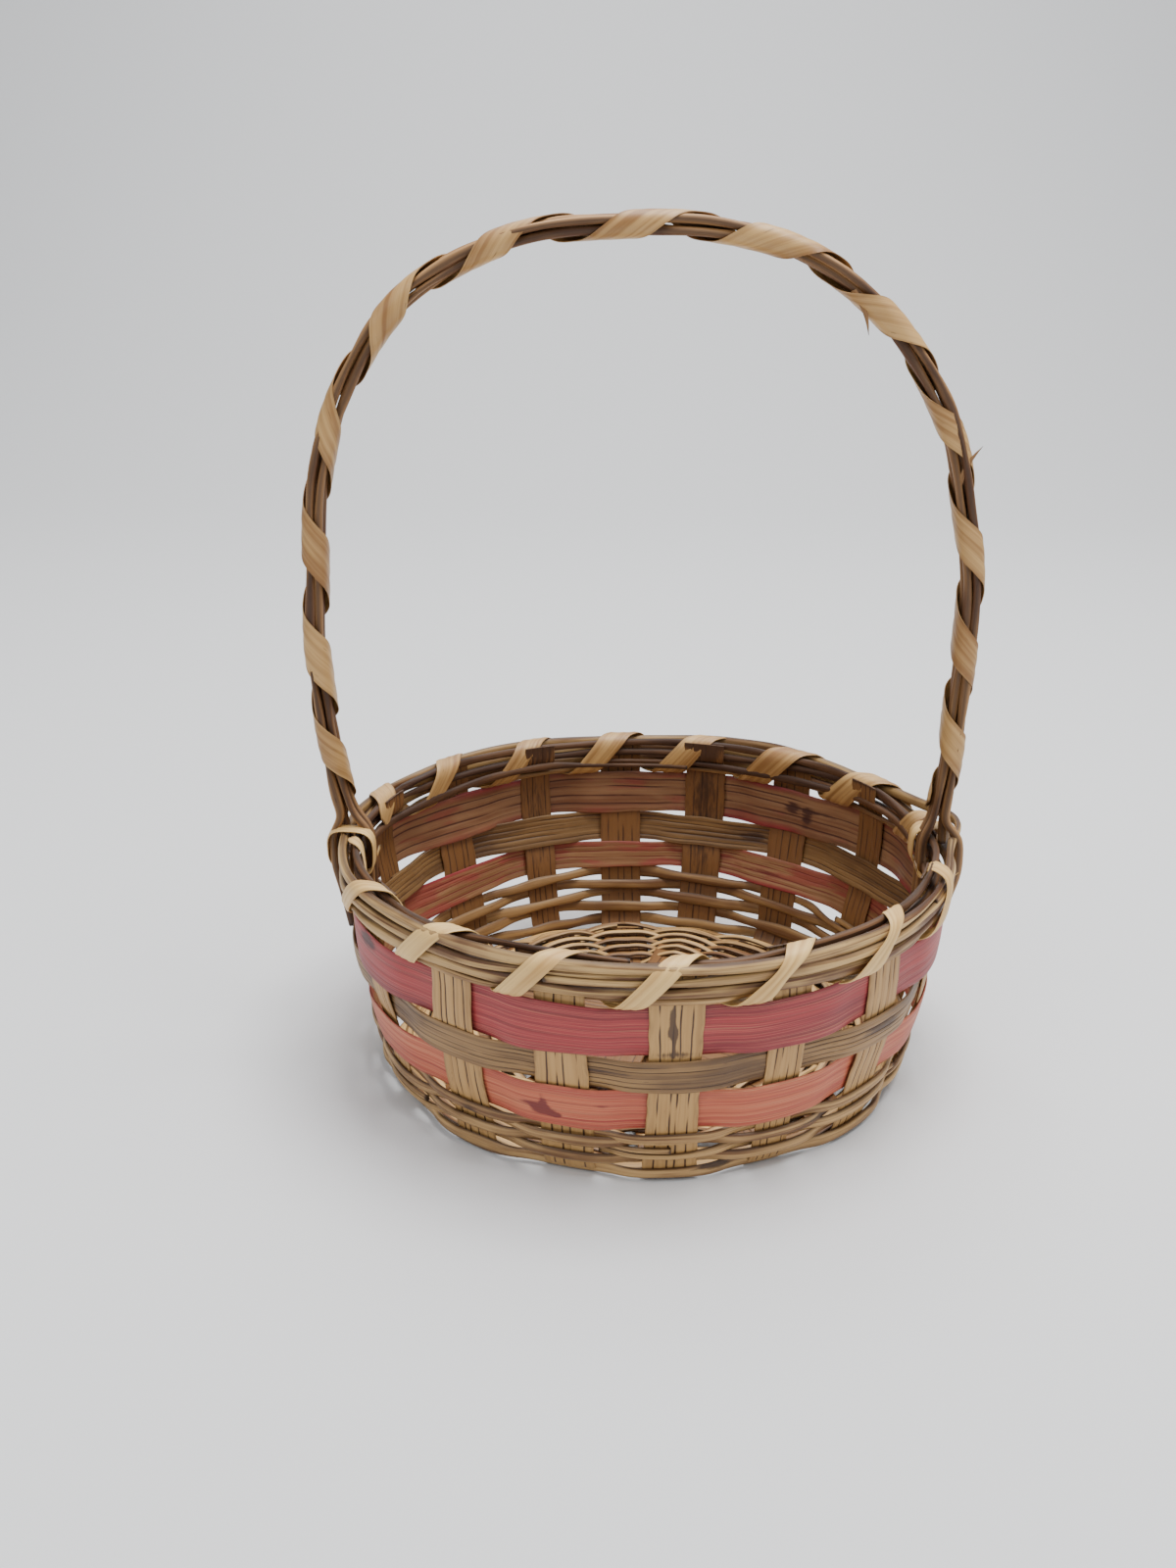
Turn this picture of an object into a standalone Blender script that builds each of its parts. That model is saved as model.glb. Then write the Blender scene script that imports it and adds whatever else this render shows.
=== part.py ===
"""Round splint basket with a fixed hoop handle.

Units are metres and +Z is up. The basket stands on z = 0 with its axis through the origin,
and the handle stands in the XZ plane. Azimuth runs from the front (-Y) towards +X.
"""

from math import atan, cos, hypot, pi, radians, sin, sqrt

import bmesh
import bpy
import numpy as np

# Fit between pieces that touch
CLEARANCE = 0.0003          # between neighbouring splints and rods
WRAP_GAP = 0.0005           # between a wrapping strip and the rods it binds

# Overall shape
RIM_RADIUS = 0.115          # axis to the middle of the stakes at the rim
HEEL_RADIUS = 0.103         # axis to the middle of the stakes at the foot of the wall
FLARE_EASE = 1.15           # above 1 the wall leaves the heel more upright
HANDLE_HEIGHT = 0.3205      # floor to the top of the handle
HANDLE_BULGE = 0.0062       # how far the hoop's widest point stands outside the rim circle
HANDLE_BELLY_HEIGHT = 0.165  # floor to the hoop's widest point
HANDLE_FULLNESS = 2.4       # superellipse exponent of the arch, 2 is an ellipse
HANDLE_LEAN = -0.002        # sideways set of the whole hoop
HANDLE_FOOT_INSET = 0.0016  # hoop's line at the rim, inward from the rim circle

# Stakes: flat strips that cross under the base and stand up on both sides
STAKE_THICKNESS = 0.0008
STAKE_WIDTHS = (0.0185, 0.0140, 0.0190, 0.0165, 0.0160, 0.0155, 0.0180, 0.0185)
FIRST_STAKE_AZIMUTH = 5.4   # degrees
AZIMUTH_SQUEEZE = 3.7       # degrees, crowds the stakes at front and back, parts them at the handle
HEEL_BEND = 0.0028          # chamfer where the foot turns up into the wall
FOOT_LENGTH = 0.005         # flat of each foot, measured radially
FOOT_RAMP = 0.005           # radial run from the lifted base down to the foot
FLOOR_GAP = 0.0008          # least height of the base work above the floor

# Round-backed weavers
BASE_ROWS = 7
BASE_ROW_FILL = 0.58        # share of the row pitch that a base weaver takes
BASE_WEAVER_THICKNESS = 0.0022
STAKE_PASS = 0.0020         # room between neighbouring stakes for the innermost base weaver
WALL_ROWS = 5
WALL_WEAVER_HEIGHT = 0.0028
WALL_WEAVER_THICKNESS = 0.0022
WALL_ROW_SPACING = 0.00075
RIM_WEAVER_HEIGHT = 0.0022
WEAVER_CROWN = 0.55         # width of a rod's back over the width of its flat side

# Flat bands
BAND_THICKNESS = 0.0009
LOWER_BAND_HEIGHT = 0.0178
NATURAL_BAND_HEIGHT = 0.0134
UPPER_BAND_HEIGHT = 0.0195
ROW_TO_BAND = 0.0012
BAND_SPACING = 0.0006

# Rim
RIM_RODS = 3                # on each side of the stakes
RIM_ROD_HEIGHT = 0.0041
RIM_ROD_THICKNESS = 0.0040
STAKE_TOP_INSET = 0.0025    # stake ends below the top of the rim rods
WRAP_THICKNESS = 0.0007
RIM_WRAP_WIDTH = 0.011
RIM_WRAP_TURNS = 7          # on each half of the rim

# Handle
HANDLE_OUTER_RODS = 3
HANDLE_INNER_RODS = 2
HANDLE_ROD_DEPTH = 0.0037   # in the plane of the hoop
HANDLE_BUNDLE_WIDTH = 0.0102  # across the hoop, along Y
HANDLE_WRAP_WIDTH = 0.012
HANDLE_WRAP_TURNS = 13
HANDLE_FORK_HEIGHT = 0.014  # above the rim, where the rods part to straddle it
HANDLE_SEAT_HEIGHT = 0.0025  # above the rim, where the rods reach its two sides
OUTER_FOOT_DROP = 0.025     # outer rods run this far below the rim
INNER_FOOT_DROP = 0.012
LASHING_WIDTH = 0.008
HOOP_STATIONS = 44

# Colours
PALE_STRAW = (0.56, 0.42, 0.24)
TAN_CANE = (0.44, 0.29, 0.14)
BROWN_CANE = (0.30, 0.18, 0.08)
ROSE_DYE = (0.45, 0.09, 0.12)
SALMON_DYE = (0.66, 0.24, 0.18)
GREY_TAN = (0.38, 0.29, 0.17)
WRAP_STRAW = (0.62, 0.47, 0.26)

# Derived levels, from the floor up
STAKES = 2 * len(STAKE_WIDTHS)
HANDLE_GAP = 3              # the handle stands between this stake and the next one
LAYER_PITCH = STAKE_THICKNESS + CLEARANCE
ROWS_BOTTOM = STAKE_THICKNESS / 2 + HEEL_BEND + CLEARANCE
WALL_ROW_PITCH = WALL_WEAVER_HEIGHT + WALL_ROW_SPACING
ROWS_TOP = ROWS_BOTTOM + WALL_ROWS * WALL_ROW_PITCH - WALL_ROW_SPACING
LOWER_BAND_BOTTOM = ROWS_TOP + ROW_TO_BAND
NATURAL_BAND_BOTTOM = LOWER_BAND_BOTTOM + LOWER_BAND_HEIGHT + BAND_SPACING
UPPER_BAND_BOTTOM = NATURAL_BAND_BOTTOM + NATURAL_BAND_HEIGHT + BAND_SPACING
BANDS_TOP = UPPER_BAND_BOTTOM + UPPER_BAND_HEIGHT
WRAP_PASS = WRAP_THICKNESS + 2 * WRAP_GAP
RIM_BOTTOM = BANDS_TOP + WRAP_PASS
RIM_RODS_BOTTOM = RIM_BOTTOM + RIM_WEAVER_HEIGHT + CLEARANCE
RIM_ROD_PITCH = RIM_ROD_HEIGHT + CLEARANCE
RIM_TOP = RIM_RODS_BOTTOM + RIM_RODS * RIM_ROD_PITCH - CLEARANCE
STAKE_TOP = RIM_TOP - STAKE_TOP_INSET

# Derived radii
FOOT_OUT = HEEL_RADIUS - HEEL_BEND
FOOT_IN = FOOT_OUT - FOOT_LENGTH
BASE_EDGE = FOOT_IN - FOOT_RAMP
RIM_OUTER_FACE = hypot(
    RIM_RADIUS + STAKE_THICKNESS / 2 + CLEARANCE + RIM_ROD_THICKNESS, max(STAKE_WIDTHS) / 2)
RIM_INNER_FACE = RIM_RADIUS - STAKE_THICKNESS / 2 - CLEARANCE - RIM_ROD_THICKNESS

# Derived handle sizes
BUNDLE_HALF_DEPTH = HANDLE_ROD_DEPTH + CLEARANCE / 2
HOOP_TOP = HANDLE_HEIGHT - BUNDLE_HALF_DEPTH - WRAP_GAP - WRAP_THICKNESS
HOOP_REACH = RIM_RADIUS + HANDLE_BULGE
FORK_LEVEL = RIM_TOP + HANDLE_FORK_HEIGHT
SEAT_LEVEL = RIM_TOP + HANDLE_SEAT_HEIGHT
OUTER_SEAT = RIM_OUTER_FACE + CLEARANCE + HANDLE_ROD_DEPTH / 2
INNER_SEAT = RIM_INNER_FACE - CLEARANCE - HANDLE_ROD_DEPTH / 2


def stake_azimuth(index):
    """Azimuth in radians of one upright, which may be a half number for a gap's middle."""
    below = int(index // 1)
    share = index - below
    if share:
        return (1 - share) * stake_azimuth(below) + share * stake_azimuth(below + 1)
    even = radians(FIRST_STAKE_AZIMUTH) + 2 * pi * index / STAKES
    return even - radians(AZIMUTH_SQUEEZE) * sin(2 * even)


def stake_width(index):
    """Width of the strip that the upright belongs to."""
    return STAKE_WIDTHS[index % len(STAKE_WIDTHS)]


def stake_layer(index):
    """Place of the strip in the crossing at the middle, 0 lowest; neighbours lie far apart."""
    strip = index % len(STAKE_WIDTHS)
    return 4 * (strip & 1) + (strip & 2) + (strip >> 2)


def clear_radius(step):
    """Radius beyond which every two strips that are step places apart lie side by side."""
    widest = 0.0
    for index in range(STAKES):
        turn = stake_azimuth(index + step) - stake_azimuth(index)
        half_widths = (stake_width(index) + stake_width(index + step)) / 2
        widest = max(widest, (half_widths + STAKE_PASS) / turn)
    return widest


# The crossing: strips lie fully apart inside CROSS_FULL and at one level beyond CROSS_END
CROSS_FULL = clear_radius(2)
FIRST_BASE_ROW = clear_radius(1)
CROSS_END = 2 * FIRST_BASE_ROW - CROSS_FULL
MIDDLE_LAYER = (len(STAKE_WIDTHS) - 1) / 2
BASE_LIFT = FLOOR_GAP + STAKE_THICKNESS / 2 + max(
    MIDDLE_LAYER * LAYER_PITCH,
    MIDDLE_LAYER * LAYER_PITCH / 2 + CLEARANCE + BASE_WEAVER_THICKNESS)
BASE_ROW_PITCH = (BASE_EDGE - FIRST_BASE_ROW) / (BASE_ROWS - 1 + BASE_ROW_FILL / 2)
BASE_WEAVER_WIDTH = BASE_ROW_PITCH * BASE_ROW_FILL


def strip_height(index, radius):
    """Height of the middle of a strip's thickness on the base, at a distance from the axis."""
    spread = np.interp(radius, (CROSS_FULL, CROSS_END), (1.0, 0.0))
    return BASE_LIFT + (stake_layer(index) - MIDDLE_LAYER) * LAYER_PITCH * float(spread)


def flared_radius(height):
    """Smooth wall line from the heel to the rim, upright inside the rim."""
    share = (height - ROWS_BOTTOM) / (BANDS_TOP - ROWS_BOTTOM)
    share = min(max(share, 0.0), 1.0)
    return HEEL_RADIUS + (RIM_RADIUS - HEEL_RADIUS) * sin(pi / 2 * share ** FLARE_EASE)


WALL_LEVELS = (
    ROWS_BOTTOM - CLEARANCE,
    (ROWS_BOTTOM + ROWS_TOP) / 2,
    LOWER_BAND_BOTTOM - ROW_TO_BAND / 2,
    NATURAL_BAND_BOTTOM - BAND_SPACING / 2,
    UPPER_BAND_BOTTOM - BAND_SPACING / 2,
    BANDS_TOP + WRAP_GAP / 2,
    STAKE_TOP,
)
WALL_RADII = tuple(flared_radius(level) for level in WALL_LEVELS)


def wall_radius(height):
    """Distance from the axis to the middle of a stake's thickness, on its straight runs."""
    return float(np.interp(height, WALL_LEVELS, WALL_RADII))


def from_upright(index, radial, tangential, height):
    """Point given in the frame of one upright."""
    azimuth = stake_azimuth(index)
    return (
        radial * sin(azimuth) + tangential * cos(azimuth),
        tangential * sin(azimuth) - radial * cos(azimuth),
        height,
    )


def from_axis(azimuth, radius, height):
    """Point given by azimuth and distance from the basket's axis."""
    return (radius * sin(azimuth), -radius * cos(azimuth), height)


def make_material(name, colour, roughness):
    """Plain Principled material."""
    material = bpy.data.materials.new(name)
    material.use_nodes = True
    shader = material.node_tree.nodes["Principled BSDF"]
    shader.inputs["Base Color"].default_value = (*colour, 1.0)
    shader.inputs["Roughness"].default_value = roughness
    shader.inputs["Metallic"].default_value = 0.0
    material.diffuse_color = (*colour, 1.0)
    return material


def make_body(name, sections, closed, material, parent, turn=0.0):
    """Join matching cross-sections, in order, into one closed body."""
    shape = bmesh.new()
    rows = [[shape.verts.new(point) for point in section] for section in sections]
    sides = len(sections[0])
    for number in range(len(rows) if closed else len(rows) - 1):
        here, there = rows[number], rows[(number + 1) % len(rows)]
        for side in range(sides):
            after = (side + 1) % sides
            shape.faces.new((here[side], here[after], there[after], there[side]))
    if not closed:
        shape.faces.new(rows[0])
        shape.faces.new(rows[-1])
    bmesh.ops.triangulate(shape, faces=shape.faces)
    bmesh.ops.recalc_face_normals(shape, faces=shape.faces)
    if shape.calc_volume(signed=True) < 0:
        bmesh.ops.reverse_faces(shape, faces=shape.faces)
    mesh = bpy.data.meshes.new(name)
    shape.to_mesh(mesh)
    shape.free()
    mesh.shade_smooth()
    mesh.set_sharp_from_angle(angle=radians(40))
    mesh.materials.append(material)
    body = bpy.data.objects.new(name, mesh)
    body.rotation_euler.z = turn
    body.parent = parent
    bpy.context.scene.collection.objects.link(body)
    return body


def make_stake(strip, material, parent):
    """Flat strip from rim to rim across the base, built along local X and turned to its place."""
    half = STAKE_THICKNESS / 2
    bend = sqrt(2) - 1          # mitre of the 45 degree chamfer at the heel
    line = [
        (CROSS_FULL, strip_height(strip, CROSS_FULL), 0, 1),
        (CROSS_END, BASE_LIFT, 0, 1),
        (BASE_EDGE, BASE_LIFT, 0, 1),
        (FOOT_IN, half, 0, 1),
        (FOOT_OUT, half, -bend, 1),
    ]
    line += [(radius, level, -1, bend if level == WALL_LEVELS[0] else 0)
             for radius, level in zip(WALL_RADII, WALL_LEVELS)]
    mirrored = [(-radius, level, -inward, upward) for radius, level, inward, upward in line[::-1]]
    wide = STAKE_WIDTHS[strip] / 2
    sections = []
    for along, height, inward, upward in mirrored + line:
        inner = (along + inward * half, height + upward * half)
        outer = (along - inward * half, height - upward * half)
        sections.append([
            (inner[0], -wide, inner[1]), (inner[0], wide, inner[1]),
            (outer[0], wide, outer[1]), (outer[0], -wide, outer[1]),
        ])
    turn = stake_azimuth(strip) - pi / 2
    return make_body(f"stake_{strip + 1}", sections, False, material, parent, turn)


def ring_sections(corners_at):
    """Sections of a ring: two at each upright's edges and one in the middle of each gap.

    corners_at(index) gives the section's corners at an upright as (radial, height) pairs.
    """
    sections = []
    for index in range(STAKES):
        wide = stake_width(index) / 2
        after = stake_width(index + 1) / 2
        here, there = corners_at(index), corners_at((index + 1) % STAKES)
        for edge in (-wide, wide):
            sections.append([from_upright(index, radial, edge, height) for radial, height in here])
        middle = stake_azimuth(index + 0.5)
        sections.append([
            from_axis(middle, (hypot(a[0], wide) + hypot(b[0], after)) / 2, (a[1] + b[1]) / 2)
            for a, b in zip(here, there)
        ])
    return sections


def rod_outline(thickness, height):
    """Corners of a half-round rod as (depth, height) from its middle, flat side inward."""
    back = height * WEAVER_CROWN / 2
    return (
        (-thickness / 2, -height / 2), (thickness / 2, -back),
        (thickness / 2, back), (-thickness / 2, height / 2),
    )


def woven_offset(outside, thickness):
    """Radial distance from the middle of a stake to the middle of a piece that passes it."""
    side = 1 if outside else -1
    return side * (STAKE_THICKNESS + thickness) / 2 + side * CLEARANCE


def woven_face(level):
    """Distance from the axis to the outside of a band at the edge of a stake that it passes."""
    face = wall_radius(level) + woven_offset(True, BAND_THICKNESS) + BAND_THICKNESS / 2
    return hypot(face, stake_width(HANDLE_GAP) / 2)


def make_wall_rod(name, middle, thickness, height, passes_outside, material, parent):
    """Ring of half-round rod at one level of the wall."""
    outline = rod_outline(thickness, height)

    def corners_at(index):
        offset = woven_offset(passes_outside(index), thickness)
        return [(wall_radius(middle + up) + offset + depth, middle + up) for depth, up in outline]

    return make_body(name, ring_sections(corners_at), True, material, parent)


def make_band(name, bottom, height, passes_outside, material, parent):
    """Ring of flat splint that follows the slope of the wall."""
    half = BAND_THICKNESS / 2

    def corners_at(index):
        offset = woven_offset(passes_outside(index), BAND_THICKNESS)
        low, high = wall_radius(bottom) + offset, wall_radius(bottom + height) + offset
        top = bottom + height
        return [(low - half, bottom), (low + half, bottom), (high + half, top), (high - half, top)]

    return make_body(name, ring_sections(corners_at), True, material, parent)


def make_base_weaver(row, material, parent):
    """Ring of half-round rod that goes over and under the strips of the base."""
    middle = FIRST_BASE_ROW + row * BASE_ROW_PITCH
    outline = rod_outline(BASE_WEAVER_THICKNESS, BASE_WEAVER_WIDTH)

    def corners_at(index):
        above = 1 if (index + row) % 2 else -1
        shift = above * ((STAKE_THICKNESS + BASE_WEAVER_THICKNESS) / 2 + CLEARANCE)
        return [(middle + across, strip_height(index, middle + across) + shift + up)
                for up, across in outline]

    return make_body(f"base_weaver_{row + 1}", ring_sections(corners_at), True, material, parent)


def make_strip(name, path, place, half_length, closed, material, parent):
    """Thin strip folded round a bundle.

    path holds (along, u, v, u_normal, v_normal) for each fold or half fold; place(along, u, v)
    turns them into points. Every fold line lies along the bundle.
    """
    half = WRAP_THICKNESS / 2
    sections = []
    for along, u, v, u_normal, v_normal in path:
        out = (u + u_normal * half, v + v_normal * half)
        back = (u - u_normal * half, v - v_normal * half)
        sections.append([
            place(along - half_length, *out), place(along + half_length, *out),
            place(along + half_length, *back), place(along - half_length, *back),
        ])
    return make_body(name, sections, closed, material, parent)


def rim_loop():
    """One turn of a strip round the rim, as (share of the turn, radius, height, normals)."""
    outer = RIM_OUTER_FACE + WRAP_GAP + WRAP_THICKNESS / 2
    inner = RIM_INNER_FACE - WRAP_GAP - WRAP_THICKNESS / 2
    low = RIM_BOTTOM - WRAP_GAP - WRAP_THICKNESS / 2
    high = RIM_TOP + WRAP_GAP + WRAP_THICKNESS / 2
    middle = (low + high) / 2
    corners = [
        (RIM_RADIUS, low, 0, -1), (outer, low, 1, -1), (outer, middle, 1, 0),
        (outer, high, 1, 1), (RIM_RADIUS, high, 0, 1), (inner, high, -1, 1),
        (inner, middle, -1, 0), (inner, low, -1, -1),
    ]
    steps = [hypot(b[0] - a[0], b[1] - a[1]) for a, b in zip(corners, corners[1:] + corners[:1])]
    shares = np.cumsum([0.0] + steps[:-1]) / sum(steps)
    return [(float(share), *corner) for share, corner in zip(shares, corners)], sum(steps)


def make_rim_wrap(name, first_gap, material, parent):
    """Strip wound round one half of the rim; it passes under the rim in the middle of each gap."""
    turn, girth = rim_loop()
    advance = 2 * pi * RIM_RADIUS / STAKES
    half_angle = RIM_WRAP_WIDTH / cos(atan(advance / girth)) / 2 / RIM_RADIUS
    path = []
    for number in range(-1, RIM_WRAP_TURNS):
        here = stake_azimuth(first_gap + number + 0.5)
        there = stake_azimuth(first_gap + number + 1.5)
        for share, radius, height, u_normal, v_normal in turn:
            path.append((here + share * (there - here), radius, height, u_normal, v_normal))
    inside_run = 2              # the ends stop on the inner face of the rim
    path = path[len(turn) - inside_run:len(path) - inside_run + 1]
    return make_strip(name, path, from_axis, half_angle, False, material, parent)


def hoop_line():
    """Hoop's line as (x, z) stations from the left fork to the right fork, evenly spaced."""
    reach, rise = HOOP_REACH, HOOP_TOP - HANDLE_BELLY_HEIGHT
    foot = RIM_RADIUS - HANDLE_FOOT_INSET
    drop = HANDLE_BELLY_HEIGHT - RIM_TOP
    right = []
    for height in np.linspace(FORK_LEVEL, HANDLE_BELLY_HEIGHT, 60, endpoint=False):
        share = (HANDLE_BELLY_HEIGHT - height) / drop
        right.append((reach - (reach - foot) * share ** 1.6, height))
    for angle in np.linspace(0, pi / 2, 200):
        power = 2 / HANDLE_FULLNESS
        right.append((reach * max(cos(angle), 0.0) ** power,
                      HANDLE_BELLY_HEIGHT + rise * sin(angle) ** power))
    whole = np.array([(-x, z) for x, z in right[:-1]] + right[::-1])
    settle = np.clip((whole[:, 1] - FORK_LEVEL) / (HANDLE_BELLY_HEIGHT - FORK_LEVEL), 0, 1)
    whole[:, 0] += HANDLE_LEAN * settle
    length = np.concatenate([[0], np.cumsum(np.hypot(*np.diff(whole, axis=0).T))])
    even = np.linspace(0, length[-1], HOOP_STATIONS)
    return np.column_stack([np.interp(even, length, whole[:, 0]),
                            np.interp(even, length, whole[:, 1])])


def outward_mitres(line):
    """Outward offset directions of an (x, z) line, lengthened at each bend to keep the offset."""
    steps = np.diff(line, axis=0)
    steps /= np.hypot(steps[:, 0], steps[:, 1])[:, None]
    normals = np.column_stack([-steps[:, 1], steps[:, 0]])
    before = np.vstack([normals[:1], normals])
    after = np.vstack([normals, normals[-1:]])
    both = before + after
    return both * (2 / np.sum(both * both, axis=1))[:, None]


def make_handle_rod(name, row, y, width, material, parent):
    """Bent rod of the handle. row is 1 for the outer row and -1 for the inner row."""
    hoop = hoop_line()
    bundle = hoop + outward_mitres(hoop) * row * (HANDLE_ROD_DEPTH + CLEARANCE) / 2
    seat = OUTER_SEAT if row > 0 else INNER_SEAT
    drop = OUTER_FOOT_DROP if row > 0 else INNER_FOOT_DROP
    end_level = RIM_BOTTOM - drop
    end = woven_face(end_level) + CLEARANCE + HANDLE_ROD_DEPTH / 2 if row > 0 else seat
    half_way = (FORK_LEVEL + SEAT_LEVEL) / 2

    def foot(side, start):
        middle = (side * seat + start) / 2
        return [(middle, half_way), (side * seat, SEAT_LEVEL), (side * seat, RIM_BOTTOM),
                (side * end, end_level)]

    left = foot(-1, bundle[0][0])[::-1]
    right = foot(1, bundle[-1][0])
    line = np.array(left + [tuple(point) for point in bundle] + right)
    mitres = outward_mitres(line)
    half, back = HANDLE_ROD_DEPTH / 2, width * WEAVER_CROWN / 2
    outline = ((-row * half, -width / 2), (row * half, -back), (row * half, back),
               (-row * half, width / 2))
    sections = []
    for (x, z), (nx, nz) in zip(line, mitres):
        sections.append([(x + nx * depth, y + across, z + nz * depth) for depth, across in outline])
    return make_body(name, sections, False, material, parent)


def make_handle_wrap(material, parent):
    """Strip wound round the handle's rods from one fork to the other."""
    hoop = hoop_line()
    mitres = outward_mitres(hoop)
    length = np.concatenate([[0], np.cumsum(np.hypot(*np.diff(hoop, axis=0).T))])
    u = BUNDLE_HALF_DEPTH + WRAP_GAP + WRAP_THICKNESS / 2
    v = HANDLE_BUNDLE_WIDTH / 2 + WRAP_GAP + WRAP_THICKNESS / 2
    corners = [(u, -v, 1, -1), (u, v, 1, 1), (-u, v, -1, 1), (-u, -v, -1, -1)]
    sides = [2 * v, 2 * u, 2 * v, 2 * u]
    girth = sum(sides)
    shares = np.cumsum([0.0] + sides[:-1]) / girth

    def place(along, out, across):
        x, z, nx, nz = (np.interp(along, length, values) for values in
                        (hoop[:, 0], hoop[:, 1], mitres[:, 0], mitres[:, 1]))
        return (x + nx * out, across, z + nz * out)

    advance = length[-1] / (HANDLE_WRAP_TURNS + 1)
    half_length = HANDLE_WRAP_WIDTH / cos(atan(advance / girth)) / 2
    advance = (length[-1] - 2 * half_length) / HANDLE_WRAP_TURNS
    path = []
    for turn in range(HANDLE_WRAP_TURNS):
        for share, corner in zip(shares, corners):
            path.append((half_length + (turn + float(share)) * advance, *corner))
    path.append((half_length + HANDLE_WRAP_TURNS * advance, *corners[0]))
    return make_strip("handle_wrap", path, place, half_length, False, material, parent)


def make_lashing(name, side, material, parent):
    """Loop of strip that ties one handle foot to the rim, crossing its rods on the slant."""
    outer = OUTER_SEAT + HANDLE_ROD_DEPTH / 2 + WRAP_GAP + WRAP_THICKNESS / 2
    inner = INNER_SEAT - HANDLE_ROD_DEPTH / 2 - WRAP_GAP - WRAP_THICKNESS / 2
    low = RIM_BOTTOM - WRAP_GAP - WRAP_THICKNESS / 2
    high = RIM_TOP + WRAP_GAP + WRAP_THICKNESS / 2
    middle = (low + high) / 2
    half_length = LASHING_WIDTH / 2
    slant = HANDLE_BUNDLE_WIDTH / 2 + WRAP_GAP + half_length
    path = [
        (-slant, RIM_RADIUS, low, 0, -1), (-slant, outer, low, 1, -1), (0, outer, middle, 1, 0),
        (slant, outer, high, 1, 1), (slant, RIM_RADIUS, high, 0, 1), (slant, inner, high, -1, 1),
        (0, inner, middle, -1, 0), (-slant, inner, low, -1, -1),
    ]

    def place(along, out, height):
        return (side * out, side * along, height)

    return make_strip(name, path, place, half_length, True, material, parent)


def build():
    """Make every piece of the basket."""
    for leftover in list(bpy.data.objects):
        bpy.data.objects.remove(leftover, do_unlink=True)
    basket = bpy.data.objects.new("basket", None)
    bpy.context.scene.collection.objects.link(basket)

    straw = make_material("pale_straw", PALE_STRAW, 0.6)
    tan = make_material("tan_cane", TAN_CANE, 0.55)
    brown = make_material("brown_cane", BROWN_CANE, 0.55)
    rose = make_material("rose_dyed_splint", ROSE_DYE, 0.55)
    salmon = make_material("salmon_dyed_splint", SALMON_DYE, 0.55)
    grey = make_material("natural_splint", GREY_TAN, 0.6)
    wrap = make_material("wrapping_strip", WRAP_STRAW, 0.45)

    def odd(index):
        return index % 2 == 1

    def even(index):
        return index % 2 == 0

    for strip in range(len(STAKE_WIDTHS)):
        make_stake(strip, straw, basket)
    for row in range(BASE_ROWS):
        make_base_weaver(row, tan, basket)
    for row in range(WALL_ROWS):
        middle = ROWS_BOTTOM + WALL_WEAVER_HEIGHT / 2 + row * WALL_ROW_PITCH
        make_wall_rod(f"wall_weaver_{row + 1}", middle, WALL_WEAVER_THICKNESS,
                      WALL_WEAVER_HEIGHT, odd if row % 2 else even, tan, basket)

    make_band("lower_dyed_band", LOWER_BAND_BOTTOM, LOWER_BAND_HEIGHT, odd, salmon, basket)
    make_band("natural_band", NATURAL_BAND_BOTTOM, NATURAL_BAND_HEIGHT, even, grey, basket)
    make_band("upper_dyed_band", UPPER_BAND_BOTTOM, UPPER_BAND_HEIGHT, odd, rose, basket)

    make_wall_rod("rim_weaver", RIM_BOTTOM + RIM_WEAVER_HEIGHT / 2, WALL_WEAVER_THICKNESS,
                  RIM_WEAVER_HEIGHT, even, tan, basket)
    for number in range(RIM_RODS):
        middle = RIM_RODS_BOTTOM + RIM_ROD_HEIGHT / 2 + number * RIM_ROD_PITCH
        make_wall_rod(f"rim_outer_rod_{number + 1}", middle, RIM_ROD_THICKNESS,
                      RIM_ROD_HEIGHT, lambda index: True, tan, basket)
        make_wall_rod(f"rim_inner_rod_{number + 1}", middle, RIM_ROD_THICKNESS,
                      RIM_ROD_HEIGHT, lambda index: False, brown, basket)
    opposite = STAKES // 2
    make_rim_wrap("rim_wrap_back", HANDLE_GAP + 1, wrap, basket)
    make_rim_wrap("rim_wrap_front", HANDLE_GAP + 1 + opposite, wrap, basket)

    for row, count, label in ((1, HANDLE_OUTER_RODS, "outer"), (-1, HANDLE_INNER_RODS, "inner")):
        pitch = (HANDLE_BUNDLE_WIDTH + CLEARANCE) / count
        for number in range(count):
            y = (number - (count - 1) / 2) * pitch
            make_handle_rod(f"handle_{label}_rod_{number + 1}", row, y, pitch - CLEARANCE,
                            brown, basket)
    make_handle_wrap(wrap, basket)
    make_lashing("handle_lashing_right", 1, wrap, basket)
    make_lashing("handle_lashing_left", -1, wrap, basket)


build()
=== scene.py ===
"""Round splint basket with dyed bands, a bound rim and a hoop handle.

Units are metres, +Z is up and the basket's axis is the Z axis. Azimuths run from the front,
-Y, towards +X. Every piece carries three vectors at its face corners for the finishes to read:
"grain" is (length along the piece, width across it, the piece's own number), "trait" is
(closeness to an edge, share of the inner face, strength of a stain), and "score" holds the
depth of a groove in its first number.
"""
import logging
import math
from dataclasses import dataclass, field
from enum import Enum
from typing import Callable, Sequence, Union

import bpy
import numpy as np
from mathutils import Matrix, Vector


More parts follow.
